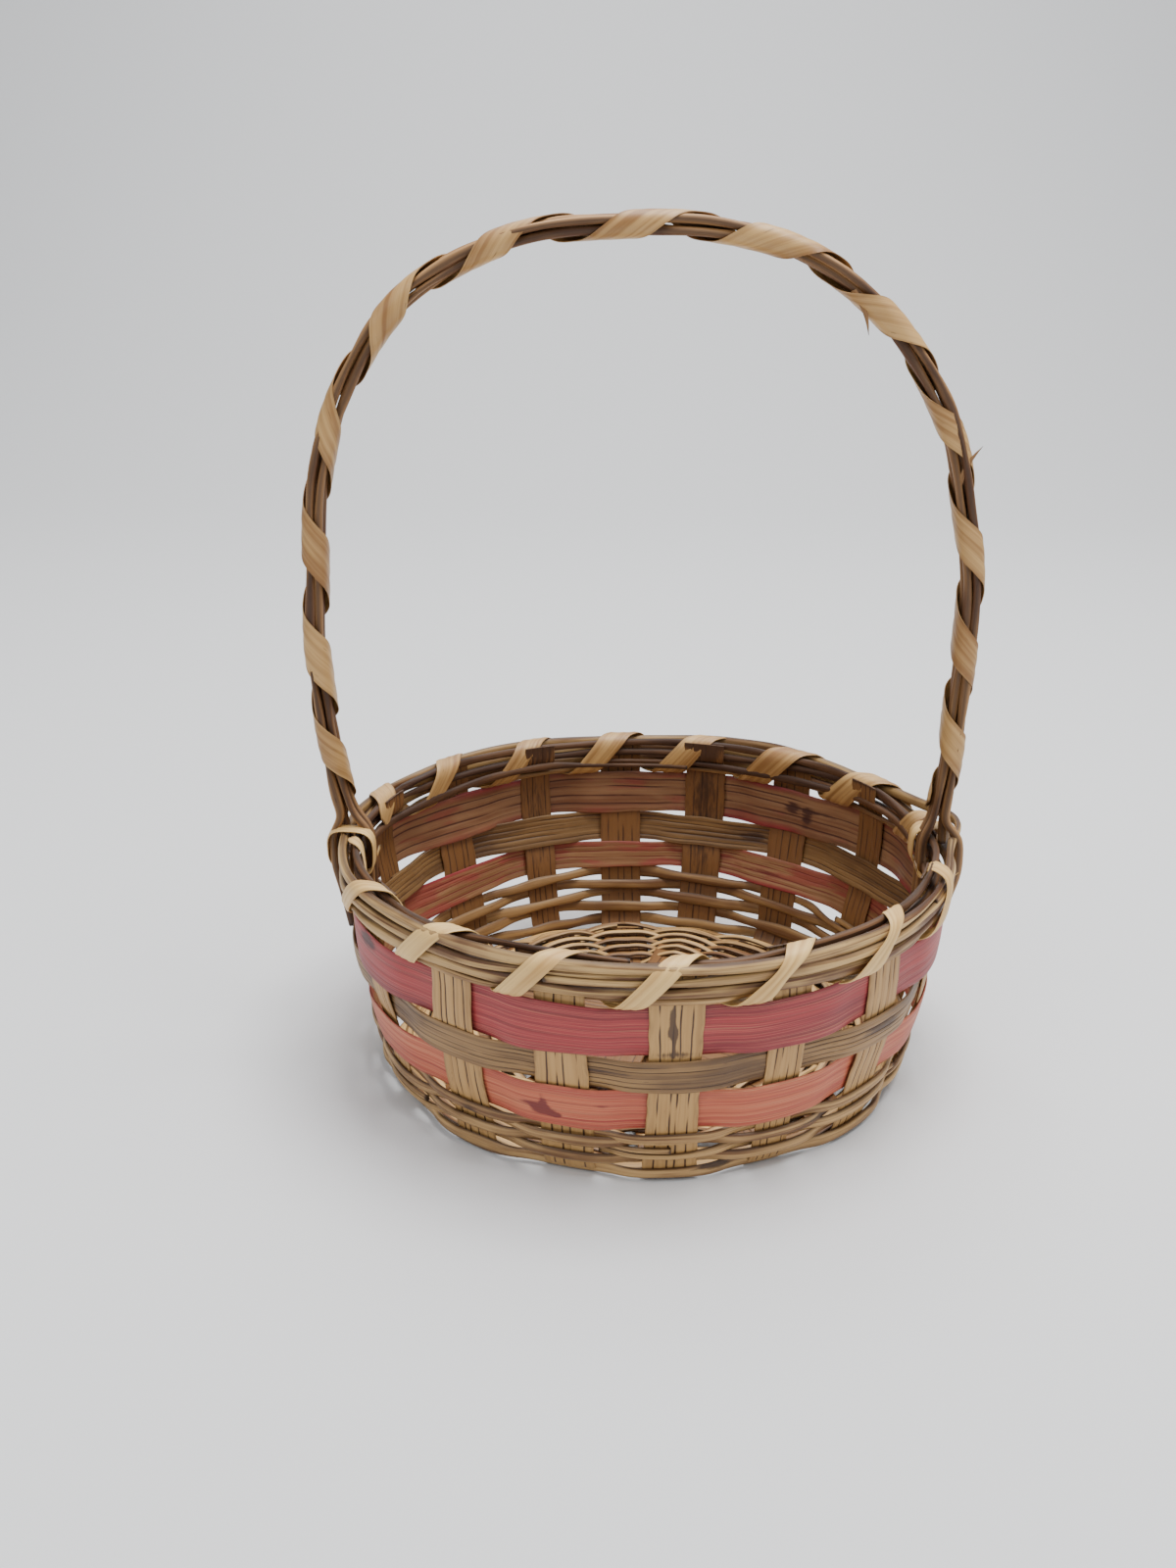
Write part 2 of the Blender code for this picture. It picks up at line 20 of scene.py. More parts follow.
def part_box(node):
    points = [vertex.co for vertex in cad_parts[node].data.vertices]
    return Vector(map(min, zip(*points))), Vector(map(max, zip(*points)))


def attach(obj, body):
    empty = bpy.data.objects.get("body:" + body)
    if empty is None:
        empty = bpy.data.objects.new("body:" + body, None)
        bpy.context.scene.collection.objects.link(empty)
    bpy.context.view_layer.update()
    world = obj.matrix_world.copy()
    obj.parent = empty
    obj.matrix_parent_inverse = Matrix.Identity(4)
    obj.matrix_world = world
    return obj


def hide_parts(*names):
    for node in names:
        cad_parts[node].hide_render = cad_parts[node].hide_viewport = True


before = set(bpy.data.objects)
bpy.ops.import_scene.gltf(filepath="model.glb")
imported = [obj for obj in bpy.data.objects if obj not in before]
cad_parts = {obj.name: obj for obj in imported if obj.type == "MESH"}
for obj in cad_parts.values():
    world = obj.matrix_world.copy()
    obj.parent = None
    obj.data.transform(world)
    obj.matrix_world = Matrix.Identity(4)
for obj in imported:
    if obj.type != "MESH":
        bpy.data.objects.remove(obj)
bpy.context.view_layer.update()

LOG = logging.getLogger("basket")
BODY = "root"
MM = 0.001

Colour = tuple[float, float, float]
Numbers = Union[np.ndarray, float]
Coats = dict["CaneFinish", bpy.types.Material]


def tint(red: int, green: int, blue: int) -> Colour:
    """Linear colour of a display colour given from 0 to 255."""
    shares = (value / 255 for value in (red, green, blue))
    return tuple(s / 12.92 if s <= 0.04045 else ((s + 0.055) / 1.055) ** 2.4 for s in shares)


def smooth_step(values: np.ndarray, low: float, high: float) -> np.ndarray:
    """Smooth rise from 0 at low to 1 at high."""
    share = np.clip((values - low) / (high - low), 0, 1)
    return share * share * (3 - 2 * share)


def run_along(line: np.ndarray) -> np.ndarray:
    """Distance along a line at each of its stations."""
    return np.concatenate([[0], np.cumsum(np.linalg.norm(np.diff(line, axis=0), axis=1))])


def on_ring(azimuth: np.ndarray, radius: np.ndarray, height: np.ndarray) -> np.ndarray:
    """Points at azimuths, distances from the axis and heights."""
    return np.stack([radius * np.sin(azimuth), -radius * np.cos(azimuth), height], axis=-1)


def cut_ends(along: np.ndarray, strength: float = 0.7, reach: float = 1.2 * MM) -> np.ndarray:
    """Stain of a strand's two cut ends.

    Args:
        along: distance along the strand at every station.
        strength: strength at the very ends.
        reach: distance over which it fades.

    Returns:
        Strength at every station, as one column.
    """
    return strength * np.exp(-np.minimum(along, along[-1] - along)[:, None] / reach)


def laps(index: np.ndarray, overlap: float, ramp: float = 0.5) -> tuple[np.ndarray, np.ndarray]:
    """How far each station of a ring lies in the overlap of its two ends.

    Args:
        index: upright number at every station.
        overlap: length of the overlap, in uprights.
        ramp: length over which the strand leaves the overlap, in uprights.

    Returns:
        Shares of the overlap at the start and at the end.
    """
    early = 1 - smooth_step(index - index[0], overlap, overlap + ramp)
    late = 1 - smooth_step(index[-1] - index, overlap, overlap + ramp)
    return early, late


# ---------------------------------------------------------------- shader expressions


class Wire:
    """One output of a node; arithmetic on it adds nodes to the same material."""

    def __init__(self, web: "Web", socket: bpy.types.NodeSocket) -> None:
        """Wrap a socket of a web."""
        self.web = web
        self.socket = socket

    @property
    def is_vector(self) -> bool:
        """Whether the socket holds three numbers."""
        return self.socket.type in {"VECTOR", "RGBA"}

    def _join(self, operation: str, left: "Term", right: "Term") -> "Wire":
        """Add the node that works out one operation.

        Args:
            operation: name of the Math or Vector Math operation.
            left: first term.
            right: second term.

        Returns:
            The result.
        """
        if self.is_vector:
            node = self.web.node("ShaderNodeVectorMath", {"operation": operation},
                                 {0: left, 1: right})
        else:
            node = self.web.node("ShaderNodeMath", {"operation": operation}, {0: left, 1: right})
        return Wire(self.web, node.outputs[0])

    def __add__(self, other: "Term") -> "Wire":
        """Sum."""
        return self._join("ADD", self, other)

    __radd__ = __add__

    def __sub__(self, other: "Term") -> "Wire":
        """Difference."""
        return self._join("SUBTRACT", self, other)

    def __rsub__(self, other: "Term") -> "Wire":
        """Difference from a number."""
        return self._join("SUBTRACT", other, self)

    def __mul__(self, other: "Term") -> "Wire":
        """Product."""
        return self._join("MULTIPLY", self, other)

    __rmul__ = __mul__

    def step(self, low: float, high: float) -> "Wire":
        """Smooth rise from 0 at low to 1 at high, kept between them."""
        node = self.web.node("ShaderNodeMapRange", {"interpolation_type": "SMOOTHSTEP"},
                             {"Value": self, "From Min": low, "From Max": high})
        return Wire(self.web, node.outputs["Result"])

    def most(self, other: "Term") -> "Wire":
        """The larger of the two."""
        return self._join("MAXIMUM", self, other)


Term = Union[Wire, float, Sequence[float]]


class Web:
    """Node tree of one material, ready for its Principled shader's sockets."""

    def __init__(self, name: str) -> None:
        """Make the material and read the vectors that its pieces carry.

        Args:
            name: name of the material.
        """
        self.material = bpy.data.materials.new(name)
        self.material.use_nodes = True
        self.tree = self.material.node_tree
        self.shader = self.tree.nodes["Principled BSDF"]
        self.grain = self.attribute("grain")
        self.edge, self.inner, self.stain = self.parts(self.attribute("trait"))
        self.groove = self.parts(self.attribute("score"))[0]

    def node(self, kind: str, settings: dict, sockets: dict) -> bpy.types.Node:
        """Add a node.

        Args:
            kind: type of the node.
            settings: its own settings by name, which are set first.
            sockets: value or wire of each input, by name or number.

        Returns:
            The node.
        """
        node = self.tree.nodes.new(kind)
        for name, value in settings.items():
            setattr(node, name, value)
        for key, value in sockets.items():
            if isinstance(value, Wire):
                self.tree.links.new(value.socket, node.inputs[key])
            else:
                node.inputs[key].default_value = value
        return node

    def attribute(self, name: str) -> Wire:
        """Vector that the piece carries under a name."""
        node = self.node("ShaderNodeAttribute", {"attribute_name": name}, {})
        return Wire(self, node.outputs["Vector"])

    def parts(self, vector: Wire) -> tuple[Wire, Wire, Wire]:
        """The three numbers of a vector."""
        node = self.node("ShaderNodeSeparateXYZ", {}, {0: vector})
        return tuple(Wire(self, output) for output in node.outputs)

    def noise(self, scale: tuple[float, float, float], detail: float = 3.0) -> Wire:
        """Noise drawn out along the grain.

        Args:
            scale: features per metre along and across the piece, and per piece number.
            detail: octaves.

        Returns:
            Value from about 0.2 to 0.8.
        """
        node = self.node("ShaderNodeTexNoise", {"noise_dimensions": "3D"},
                         {"Vector": self.grain * scale, "Scale": 1.0, "Detail": detail})
        return Wire(self, node.outputs["Fac"])

    def mix(self, first: Term, second: Term, share: Term) -> Wire:
        """Colour that goes from first to second with share."""
        node = self.node("ShaderNodeMix", {"data_type": "RGBA"},
                         {0: share, 6: self._colour(first), 7: self._colour(second)})
        return Wire(self, node.outputs[2])

    @staticmethod
    def _colour(term: Term) -> Term:
        """A colour with the fourth number that sockets want."""
        return term if isinstance(term, Wire) else (*term, 1.0)

    def dress(self, colour: Wire, roughness: Wire, height: Wire, depth: float) -> None:
        """Join the results to the shader.

        Args:
            colour: base colour.
            roughness: roughness.
            height: relief, 0 to 1.
            depth: size of the relief in metres.
        """
        bump = self.node("ShaderNodeBump", {}, {"Height": height, "Distance": depth,
                                               "Strength": 1.0})
        self.tree.links.new(colour.socket, self.shader.inputs["Base Color"])
        self.tree.links.new(roughness.socket, self.shader.inputs["Roughness"])
        self.tree.links.new(bump.outputs["Normal"], self.shader.inputs["Normal"])


# ---------------------------------------------------------------- finishes

# Features per metre along and across a piece, and per piece number.
FIBRE_SCALE = (30.0, 2600.0, 31.0)
STREAK_SCALE = (9.0, 620.0, 17.0)
PATCH_SCALE = (22.0, 90.0, 7.3)
SPECK_SCALE = (150.0, 1500.0, 53.0)
RAGGED_SCALE = (160.0, 900.0, 3.0)
DYE_STREAK_SCALE = (7.0, 700.0, 11.0)
DYE_POOL_SCALE = (16.0, 60.0, 5.0)
DYE_FIBRE_SCALE = (14.0, 3600.0, 23.0)
DYE_LEAK_SCALE = (30.0, 140.0, 61.0)


@dataclass(frozen=True)
class CaneFinish:
    """Split cane or splint: pale and dark fibres along the grain, patches, specks and stains.

    slot is the record's material slot that it stands for; it is not used. Of the shares,
    patchiness, streaks and fibre are how much of the deep colour the clouds, the broad streaks
    and the fibres take, inside paints shade on the inner face by darkening it, rind darkens the
    sides of a rod that face its neighbours, partly as the cane's dark skin and partly as painted
    shade of the gaps, and slit and inner_groove_shade paint shade in the grooves of the outer and
    the inner face.
    """

    name: str
    slot: str
    pale: Colour
    deep: Colour
    # Colour of specks, stains and worn edges, also used for the painted shade in grooves and
    # between rods.
    mark: Colour = tint(62, 38, 24)
    patchiness: float = 0.5
    fibre: float = 0.45
    roughness: float = 0.5
    relief: float = 0.22 * MM
    # Share of the deep colour painted on the inner face as shade.
    inside: float = 0.4
    # Darkening of the sides of a rod that face its neighbours: partly the cane's dark skin, partly
    # painted shade of the gaps between rods.
    rind_and_gap_shade: float = 0.0
    # Strength of the painted shade in the grooves of the outer face, then of the inner face.
    groove_shade: float = 0.85
    inner_groove_shade: float = 0.85
    streaks: float = 0.5

    def surface(self, web: Web) -> tuple[Wire, Wire]:
        """Colour of the clean fibres.

        Args:
            web: the material.

        Returns:
            The colour and the relief of the fibres.
        """
        fine = web.noise(FIBRE_SCALE, 4.0)
        streak = web.noise(STREAK_SCALE)
        patch = web.noise(PATCH_SCALE)
        speck = web.noise(SPECK_SCALE, 2.0)
        cloud = patch.step(0.38, 0.66) * self.patchiness
        shade = (streak.step(0.34, 0.68) * self.streaks + cloud).step(0.0, 1.0)
        colour = web.mix(self.pale, self.deep, shade)
        colour = web.mix(colour, self.deep, fine.step(0.5, 0.72) * self.fibre)
        colour = web.mix(colour, self.mark, speck.step(0.69, 0.76) * 0.5)
        # Painted shade: the inner face is darkened towards the deep colour.
        colour = web.mix(colour, self.deep, web.inner * self.inside)
        return colour, fine * 0.55 + streak * 0.45

    def stained(self, web: Web, colour: Wire) -> Wire:
        """The colour with worn edges, painted shade on the sides of rods and in the grooves, and
        stains.

        Args:
            web: the material.
            colour: colour before the stains.

        Returns:
            The stained colour.
        """
        ragged = web.noise(RAGGED_SCALE, 4.0)
        rim = web.edge.step(0.72, 1.0) * ragged.step(0.35, 0.7)
        # Sides of a rod that face its neighbours: partly the cane's dark skin, partly painted
        # shade of the gaps between rods.
        rind_and_gap_shade_mask = web.edge.step(0.25, 0.78) * self.rind_and_gap_shade
        colour = web.mix(colour, self.mark, (rim * 0.38).most(rind_and_gap_shade_mask))
        # Painted shade in the grooves, ragged along them, with a different strength on each face.
        groove_shade = web.groove.step(0.05, 0.6) * ragged.step(0.15, 0.42)
        depth = web.inner * (self.inner_groove_shade - self.groove_shade) + self.groove_shade
        colour = web.mix(colour, self.mark, groove_shade * depth)
        blot = (web.stain + ragged * 0.9 - 0.45).step(0.22, 0.62) * web.stain.step(0.02, 0.12)
        return web.mix(colour, self.mark, blot * 0.88)

    def make(self) -> bpy.types.Material:
        """Make the material.

        Returns:
            The material, with every socket joined.
        """
        web = Web(self.name)
        colour, relief = self.surface(web)
        web.dress(self.stained(web, colour), relief * 0.3 + (self.roughness - 0.12), relief,
                  self.relief)
        return web.material


@dataclass(frozen=True)
class DyedFinish(CaneFinish):
    """Splint dyed on its outer face, with the dye creeping round its edges.

    worn is how much bare fibre shows, soak how much dye comes through, in the colour seep.
    """

    dye: Colour = tint(200, 90, 100)
    dye_deep: Colour = tint(160, 55, 75)
    dye_pale: Colour = tint(225, 130, 125)
    worn: float = 0.3
    soak: float = 0.5
    seep: Colour = tint(150, 52, 58)

    def surface(self, web: Web) -> tuple[Wire, Wire]:
        """Colour of the dyed fibres.

        Args:
            web: the material.

        Returns:
            The colour and the relief of the fibres.
        """
        natural, relief = super().surface(web)
        streak = web.noise(DYE_STREAK_SCALE, 4.0)
        pool = web.noise(DYE_POOL_SCALE, 2.0)
        fine = web.noise(DYE_FIBRE_SCALE)
        dyed = web.mix(self.dye, self.dye_deep,
                       streak.step(0.46, 0.62) * 0.65 + pool.step(0.48, 0.66) * 0.4)
        dyed = web.mix(dyed, self.dye_pale, fine.step(0.5, 0.66) * 0.75)
        dyed = web.mix(dyed, self.seep, web.inner * 0.85)
        crept = web.edge.step(0.62, 0.98) * pool.step(0.36, 0.6)
        brink = 0.66 - 0.3 * self.soak
        leak = web.noise(DYE_LEAK_SCALE).step(brink, brink + 0.12) * (0.3 + 0.5 * self.soak)
        inside = web.inner * (1 - crept.most(leak))
        bare = (streak + fine * 0.5).step(0.86, 1.0) * self.worn
        return web.mix(dyed, natural, inside.most(bare)), relief


@dataclass(frozen=True)
class StageFinish:
    """Smooth pale paper of the floor and the wall behind."""

    name: str = "stage_paper"
    colour: Colour = (0.74, 0.745, 0.75)
    roughness: float = 0.85

    def make(self) -> bpy.types.Material:
        """Make the material.

        Returns:
            The material.
        """
        material = bpy.data.materials.new(self.name)
        material.use_nodes = True
        shader = material.node_tree.nodes["Principled BSDF"]
        shader.inputs["Base Color"].default_value = (*self.colour, 1.0)
        shader.inputs["Roughness"].default_value = self.roughness
        return material


# Dark mark colour of wall and rim cane: real specks, stains and worn edges, and painted shade in
# grooves and between rods.
DARK_MARK_AND_SHADE = tint(50, 28, 14)
# The stakes carry strong painted shade on their inner face and in their grooves.
STAKE = CaneFinish("stake_splint", "stake_straw", tint(190, 148, 90), tint(112, 70, 34),
                   patchiness=0.2, fibre=0.2, streaks=0.28, inside=0.85, groove_shade=0.95)
BASE_CANE = CaneFinish("base_cane", "weaver_cane", tint(219, 176, 112), tint(112, 72, 38),
                       mark=tint(38, 20, 10), patchiness=0.6, rind_and_gap_shade=0.95)
WALL_CANE = CaneFinish("wall_cane", "weaver_cane", tint(196, 156, 100), tint(106, 70, 38),
                       mark=DARK_MARK_AND_SHADE, patchiness=0.6, rind_and_gap_shade=0.75)
RIM_CANE = CaneFinish("rim_cane", "rim_cane", tint(206, 168, 108), tint(96, 60, 32),
                      mark=DARK_MARK_AND_SHADE, patchiness=0.65, rind_and_gap_shade=0.75)
# Darker copy of the rim cane, with the same slot, for the rods inside the wall: the darkening is
# painted shade.
SHADED_INNER_RIM_CANE = CaneFinish("shaded_inner_rim_cane", "rim_cane", tint(122, 84, 50), tint(62, 36, 18),
                        mark=tint(40, 24, 14), patchiness=0.7, roughness=0.62, rind_and_gap_shade=0.7)
HANDLE_CANE = CaneFinish("handle_cane", "handle_cane", tint(176, 132, 82), tint(92, 58, 32),
                         mark=tint(42, 24, 14), patchiness=0.7, roughness=0.62, rind_and_gap_shade=0.66)
WRAP = CaneFinish("wrapping_straw", "wrap_straw", tint(229, 190, 122), tint(188, 142, 80),
                  patchiness=0.3, fibre=0.3, roughness=0.42)
AGED_WRAP = CaneFinish("aged_straw", "wrap_straw", tint(196, 156, 98), tint(142, 100, 54),
                       patchiness=0.5, fibre=0.35, roughness=0.42)
NATURAL = CaneFinish("natural_splint", "natural_splint", tint(156, 120, 74), tint(96, 68, 40),
                     patchiness=0.55, inside=0.25)
ROSE = DyedFinish("rose_splint", "rose_splint", tint(178, 138, 100), tint(122, 80, 54),
                  mark=tint(58, 22, 22), dye=tint(158, 52, 54), dye_deep=tint(118, 28, 38),
                  dye_pale=tint(192, 98, 84), groove_shade=0.3, soak=0.35)
SALMON = DyedFinish("salmon_splint", "salmon_splint", tint(182, 140, 98), tint(128, 86, 54),
                    mark=tint(104, 22, 28), dye=tint(190, 98, 68), dye_deep=tint(162, 54, 48),
                    dye_pale=tint(208, 138, 96), seep=tint(148, 40, 56), worn=0.45, groove_shade=0.3,
                    soak=0.62)
FINISHES = (STAKE, BASE_CANE, WALL_CANE, RIM_CANE, SHADED_INNER_RIM_CANE, HANDLE_CANE, WRAP, AGED_WRAP,
            NATURAL, ROSE, SALMON)


# ---------------------------------------------------------------- mesh work

SHARP_ANGLE = math.radians(50)
# Places across a splint's edge and half the width of a groove, as shares of its width.
SPLINT_EDGE = (0.0, 0.012, 0.03)
GROOVE_WIDTH = 0.026


class Wander:
    """Smooth seeded irregularity of about unit size that repeats after a full turn."""

    def __init__(self, seed: int, slowest: int = 2, fastest: int = 9) -> None:
        """Draw the waves.

        Args:
            seed: seed of the draw.
            slowest: waves per turn of the longest one.
            fastest: waves per turn of the shortest one.
        """
        random = np.random.default_rng(seed)
        self.counts = np.arange(slowest, fastest + 1)
        sizes = random.normal(size=len(self.counts)) / np.sqrt(self.counts)
        self.sizes = sizes / np.sqrt(np.sum(sizes ** 2) / 2)
        self.phases = random.uniform(0, 2 * np.pi, len(self.counts))

    def __call__(self, turn: np.ndarray) -> np.ndarray:
        """Value at each angle in radians."""
        return np.sin(np.multiply.outer(turn, self.counts) + self.phases) @ self.sizes


@dataclass
class Section:
    """Cross-section of a strip or rod all along it; columns run round the section.

    depth and up are the columns' offsets at every station, across is the width coordinate of
    each column and of the closing one, edge, inner and groove are what the finishes read.
    """

    depth: np.ndarray
    up: np.ndarray
    across: np.ndarray
    edge: np.ndarray
    inner: np.ndarray
    groove: Numbers = 0.0


class Loft:
    """A piece under construction: skins over rows of cross-sections."""

    def __init__(self, name: str) -> None:
        """Start an empty piece.

        Args:
            name: name of the piece.
        """
        self.name = name
        self.points: list[np.ndarray] = []
        self.quads: list[np.ndarray] = []
        self.vectors: dict[str, list[np.ndarray]] = {"grain": [], "trait": [], "score": []}
        self.count = 0

    def skin(self, points: np.ndarray, along: np.ndarray, section: Section, stain: Numbers,
             number: float) -> None:
        """Add a closed strip or rod with capped ends.

        Args:
            points: places of all stations and columns.
            along: length coordinate of every station.
            section: the columns' other coordinates.
            stain: strength of the stains, for all stations and columns or one that fits all.
            number: the strand's own number, which sets its grain apart.
        """
        rows, columns = points.shape[:2]
        row, column = np.meshgrid(np.arange(rows - 1), np.arange(columns), indexing="ij")
        sides_row = np.stack([row, row, row + 1, row + 1], axis=-1).reshape(-1, 4)
        sides_column = np.stack([column, column + 1, column + 1, column], axis=-1).reshape(-1, 4)
        first = np.arange(columns // 2 - 1)
        cap = np.stack([first, columns - 1 - first, columns - 2 - first, first + 1], axis=-1)
        cap_row = np.zeros_like(cap)
        all_rows = np.concatenate([sides_row, cap_row, cap_row + rows - 1])
        all_columns = np.concatenate([sides_column, cap, cap[:, ::-1]])
        wrapped = all_columns % columns
        quads = all_rows * columns + wrapped
        stained, groove = (np.broadcast_to(values, (rows, columns))[all_rows, wrapped]
                           for values in (stain, section.groove))
        flat = points.reshape(-1, 3)
        a, b, c, d = (flat[quads[:, corner]] for corner in range(4))
        volume = np.sum(np.cross(a, b) * c) + np.sum(np.cross(a, c) * d)
        order = -1 if volume < 0 else 1
        self.points.append(flat)
        self.quads.append(quads[:, ::order] + self.count)
        for name, values in (
                ("grain", (along[all_rows], section.across[all_columns],
                           np.full(all_rows.shape, number))),
                ("trait", (section.edge[wrapped], section.inner[wrapped], stained)),
                ("score", (groove, 0 * groove, 0 * groove))):
            self.vectors[name].append(np.stack(values, axis=-1)[:, ::order])
        self.count += len(flat)

    def finish(self, coats: Coats, finish: CaneFinish, *nodes: str) -> bpy.types.Object:
        """Make the object and give it its place in the frame.

        Args:
            coats: the made finishes.
            finish: finish of the piece.
            *nodes: CAD nodes that it replaces.

        Returns:
            The object.
        """
        mesh = bpy.data.meshes.new(self.name)
        mesh.from_pydata(np.concatenate(self.points).tolist(), [],
                         np.concatenate(self.quads).tolist())
        for name, rows in self.vectors.items():
            attribute = mesh.attributes.new(name, "FLOAT_VECTOR", "CORNER")
            attribute.data.foreach_set("vector", np.concatenate(rows).ravel())
        mesh.shade_smooth()
        mesh.set_sharp_from_angle(angle=SHARP_ANGLE)
        mesh.materials.append(coats[finish])
        piece = bpy.data.objects.new(self.name, mesh)
        bpy.context.scene.collection.objects.link(piece)
        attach(piece, BODY)
        if nodes:
            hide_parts(*nodes)
        LOG.info("%s: %d faces", self.name, len(mesh.polygons))
        return piece


def rod_section(height: np.ndarray, thickness: np.ndarray, sides: int = 10) -> Section:
    """Oval rod, a little flat on its inner side.

    Args:
        height: full height at every station.
        thickness: full thickness at every station.
        sides: columns round the rod.

    Returns:
        The section.
    """
    girth = 2.6
    angle = 2 * np.pi * (np.arange(sides) + 0.5) / sides
    depth = np.sign(np.cos(angle)) * np.abs(np.cos(angle)) ** 0.8
    depth = np.where(depth < 0, 0.8 * depth, depth)
    up = np.sign(np.sin(angle)) * np.abs(np.sin(angle)) ** 0.9
    across = np.arange(sides + 1) / sides * float(np.mean(height)) * girth
    return Section(np.outer(thickness / 2, depth), np.outer(height / 2, up), across,
                   np.abs(up) ** 3 * 0.8, (depth < 0).astype(float))


def band_section(height: np.ndarray, thickness: float, grooves: Sequence[float],
                 groove_depth: float, crown: float, turn: np.ndarray, seed: int) -> Section:
    """Flat splint with ribs between lengthwise grooves on both faces.

    Args:
        height: full width of the splint at every station.
        thickness: its full thickness.
        grooves: places of the grooves, as shares of the width from one edge.
        groove_depth: depth of the grooves.
        crown: how far the middle stands proud of the edges.
        turn: an angle at every station, which the irregularities follow.
        seed: seed of the irregularities.

    Returns:
        The section.
    """
    places, depths = [*SPLINT_EDGE], [0.0] * len(SPLINT_EDGE)
    ribs = [SPLINT_EDGE[-1], *grooves, 1 - SPLINT_EDGE[-1]]
    for number, (here, after) in enumerate(zip(ribs, ribs[1:])):
        if number:
            places += [here - GROOVE_WIDTH, here, here + GROOVE_WIDTH]
            depths += [0.0, 1.0, 0.0]
        places.append((here + after) / 2)
        depths.append(-0.12)
    places += [1 - place for place in SPLINT_EDGE[::-1]]
    depths += [0.0] * len(SPLINT_EDGE)
    place, cut = np.array(places), np.array(depths)
    drift = np.zeros((len(turn), len(place)))
    sunk = np.ones((len(turn), len(place)))
    for number, groove in enumerate(grooves):
        near = np.abs(place - groove) < GROOVE_WIDTH * 1.5
        drift[:, near] = (Wander(seed + 7 * number, 3, 14)(turn) * 0.007)[:, None]
        strength = 0.75 + 0.35 * Wander(seed + 11 * number + 3, 4, 22)(turn)
        sunk[:, near] = np.clip(strength, 0.1, 1.5)[:, None]
    sunk[:, cut <= 0] = 1.0
    centred = (place[None, :] + drift - 0.5) * 2
    edge_wave = Wander(seed + 101, 9, 40)(turn) * 0.012
    up = centred * height[:, None] / 2 * (1 + edge_wave[:, None] * centred)
    rounding = np.clip((np.abs(centred) - 0.94) / 0.06, 0, 1) ** 2
    arch = crown * (1 - centred ** 2)
    half = thickness / 2 * (1 - 0.75 * rounding)
    carve = groove_depth * cut[None, :] * sunk
    front = half + arch - carve
    back = -half + arch + carve * 0.8
    across = np.concatenate([place, place[::-1] + 1.2, [2.2]]) * float(np.mean(height))
    edge = np.abs(place - 0.5) * 2
    open_groove = np.clip(cut[None, :] * sunk, 0, 1)
    return Section(np.hstack([front, back[:, ::-1]]), np.hstack([up, up[:, ::-1]]), across,
                   np.concatenate([edge, edge]), np.repeat([0.0, 1.0], len(place)),
                   np.hstack([open_groove, open_groove[:, ::-1]]))


def soften(line: np.ndarray, step: float, reach: float) -> np.ndarray:
    """Resample a line evenly and round its corners, keeping its ends.

    Args:
        line: corners of the line.
        step: distance between the new stations.
        reach: length over which a corner is rounded.

    Returns:
        The stations.
    """
    length = run_along(line)
    even = np.linspace(0, length[-1], max(int(length[-1] / step), 4))
    stations = np.column_stack([np.interp(even, length, values) for values in line.T])
    taps = max(int(reach / step), 1)
    weights = np.hanning(2 * taps + 3)[1:-1]
    padded = np.vstack([2 * stations[0] - stations[taps:0:-1], stations,
                        2 * stations[-1] - stations[-2:-taps - 2:-1]])
    return np.column_stack([np.convolve(values, weights / weights.sum(), "valid")
                            for values in padded.T])


def tangents(line: np.ndarray) -> np.ndarray:
    """Unit direction of a line at each of its stations."""
    tangent = np.gradient(line, axis=0)
    return tangent / np.linalg.norm(tangent, axis=1)[:, None]


# ---------------------------------------------------------------- the weave's own layout


class Side(Enum):
    """The uprights whose outer face a strand passes."""

    EVEN = 1
    ODD = -1


class Layer(Enum):
    """The side of the wall on which a rod of the rim or the handle lies."""

    OUTER = 1
    INNER = -1

@dataclass(frozen=True)
class Mark:
    """A stain on the wall: a knot, a scar or mould, given by its azimuth and height."""

    azimuth: float
    height: float
    length: float
    width: float
    strength: float = 1.0

    def on(self, azimuth: np.ndarray, radius: float, height: np.ndarray) -> np.ndarray:
        """Strength at each place of a ring.

        Args:
            azimuth: azimuths, in radians.
            radius: radius of the ring.
            height: heights.

        Returns:
            The strength.
        """
        turn = (azimuth - math.radians(self.azimuth) + np.pi) % (2 * np.pi) - np.pi
        away = (turn * radius / self.length) ** 2 + ((height - self.height) / self.width) ** 2
        return self.strength * np.exp(-away)


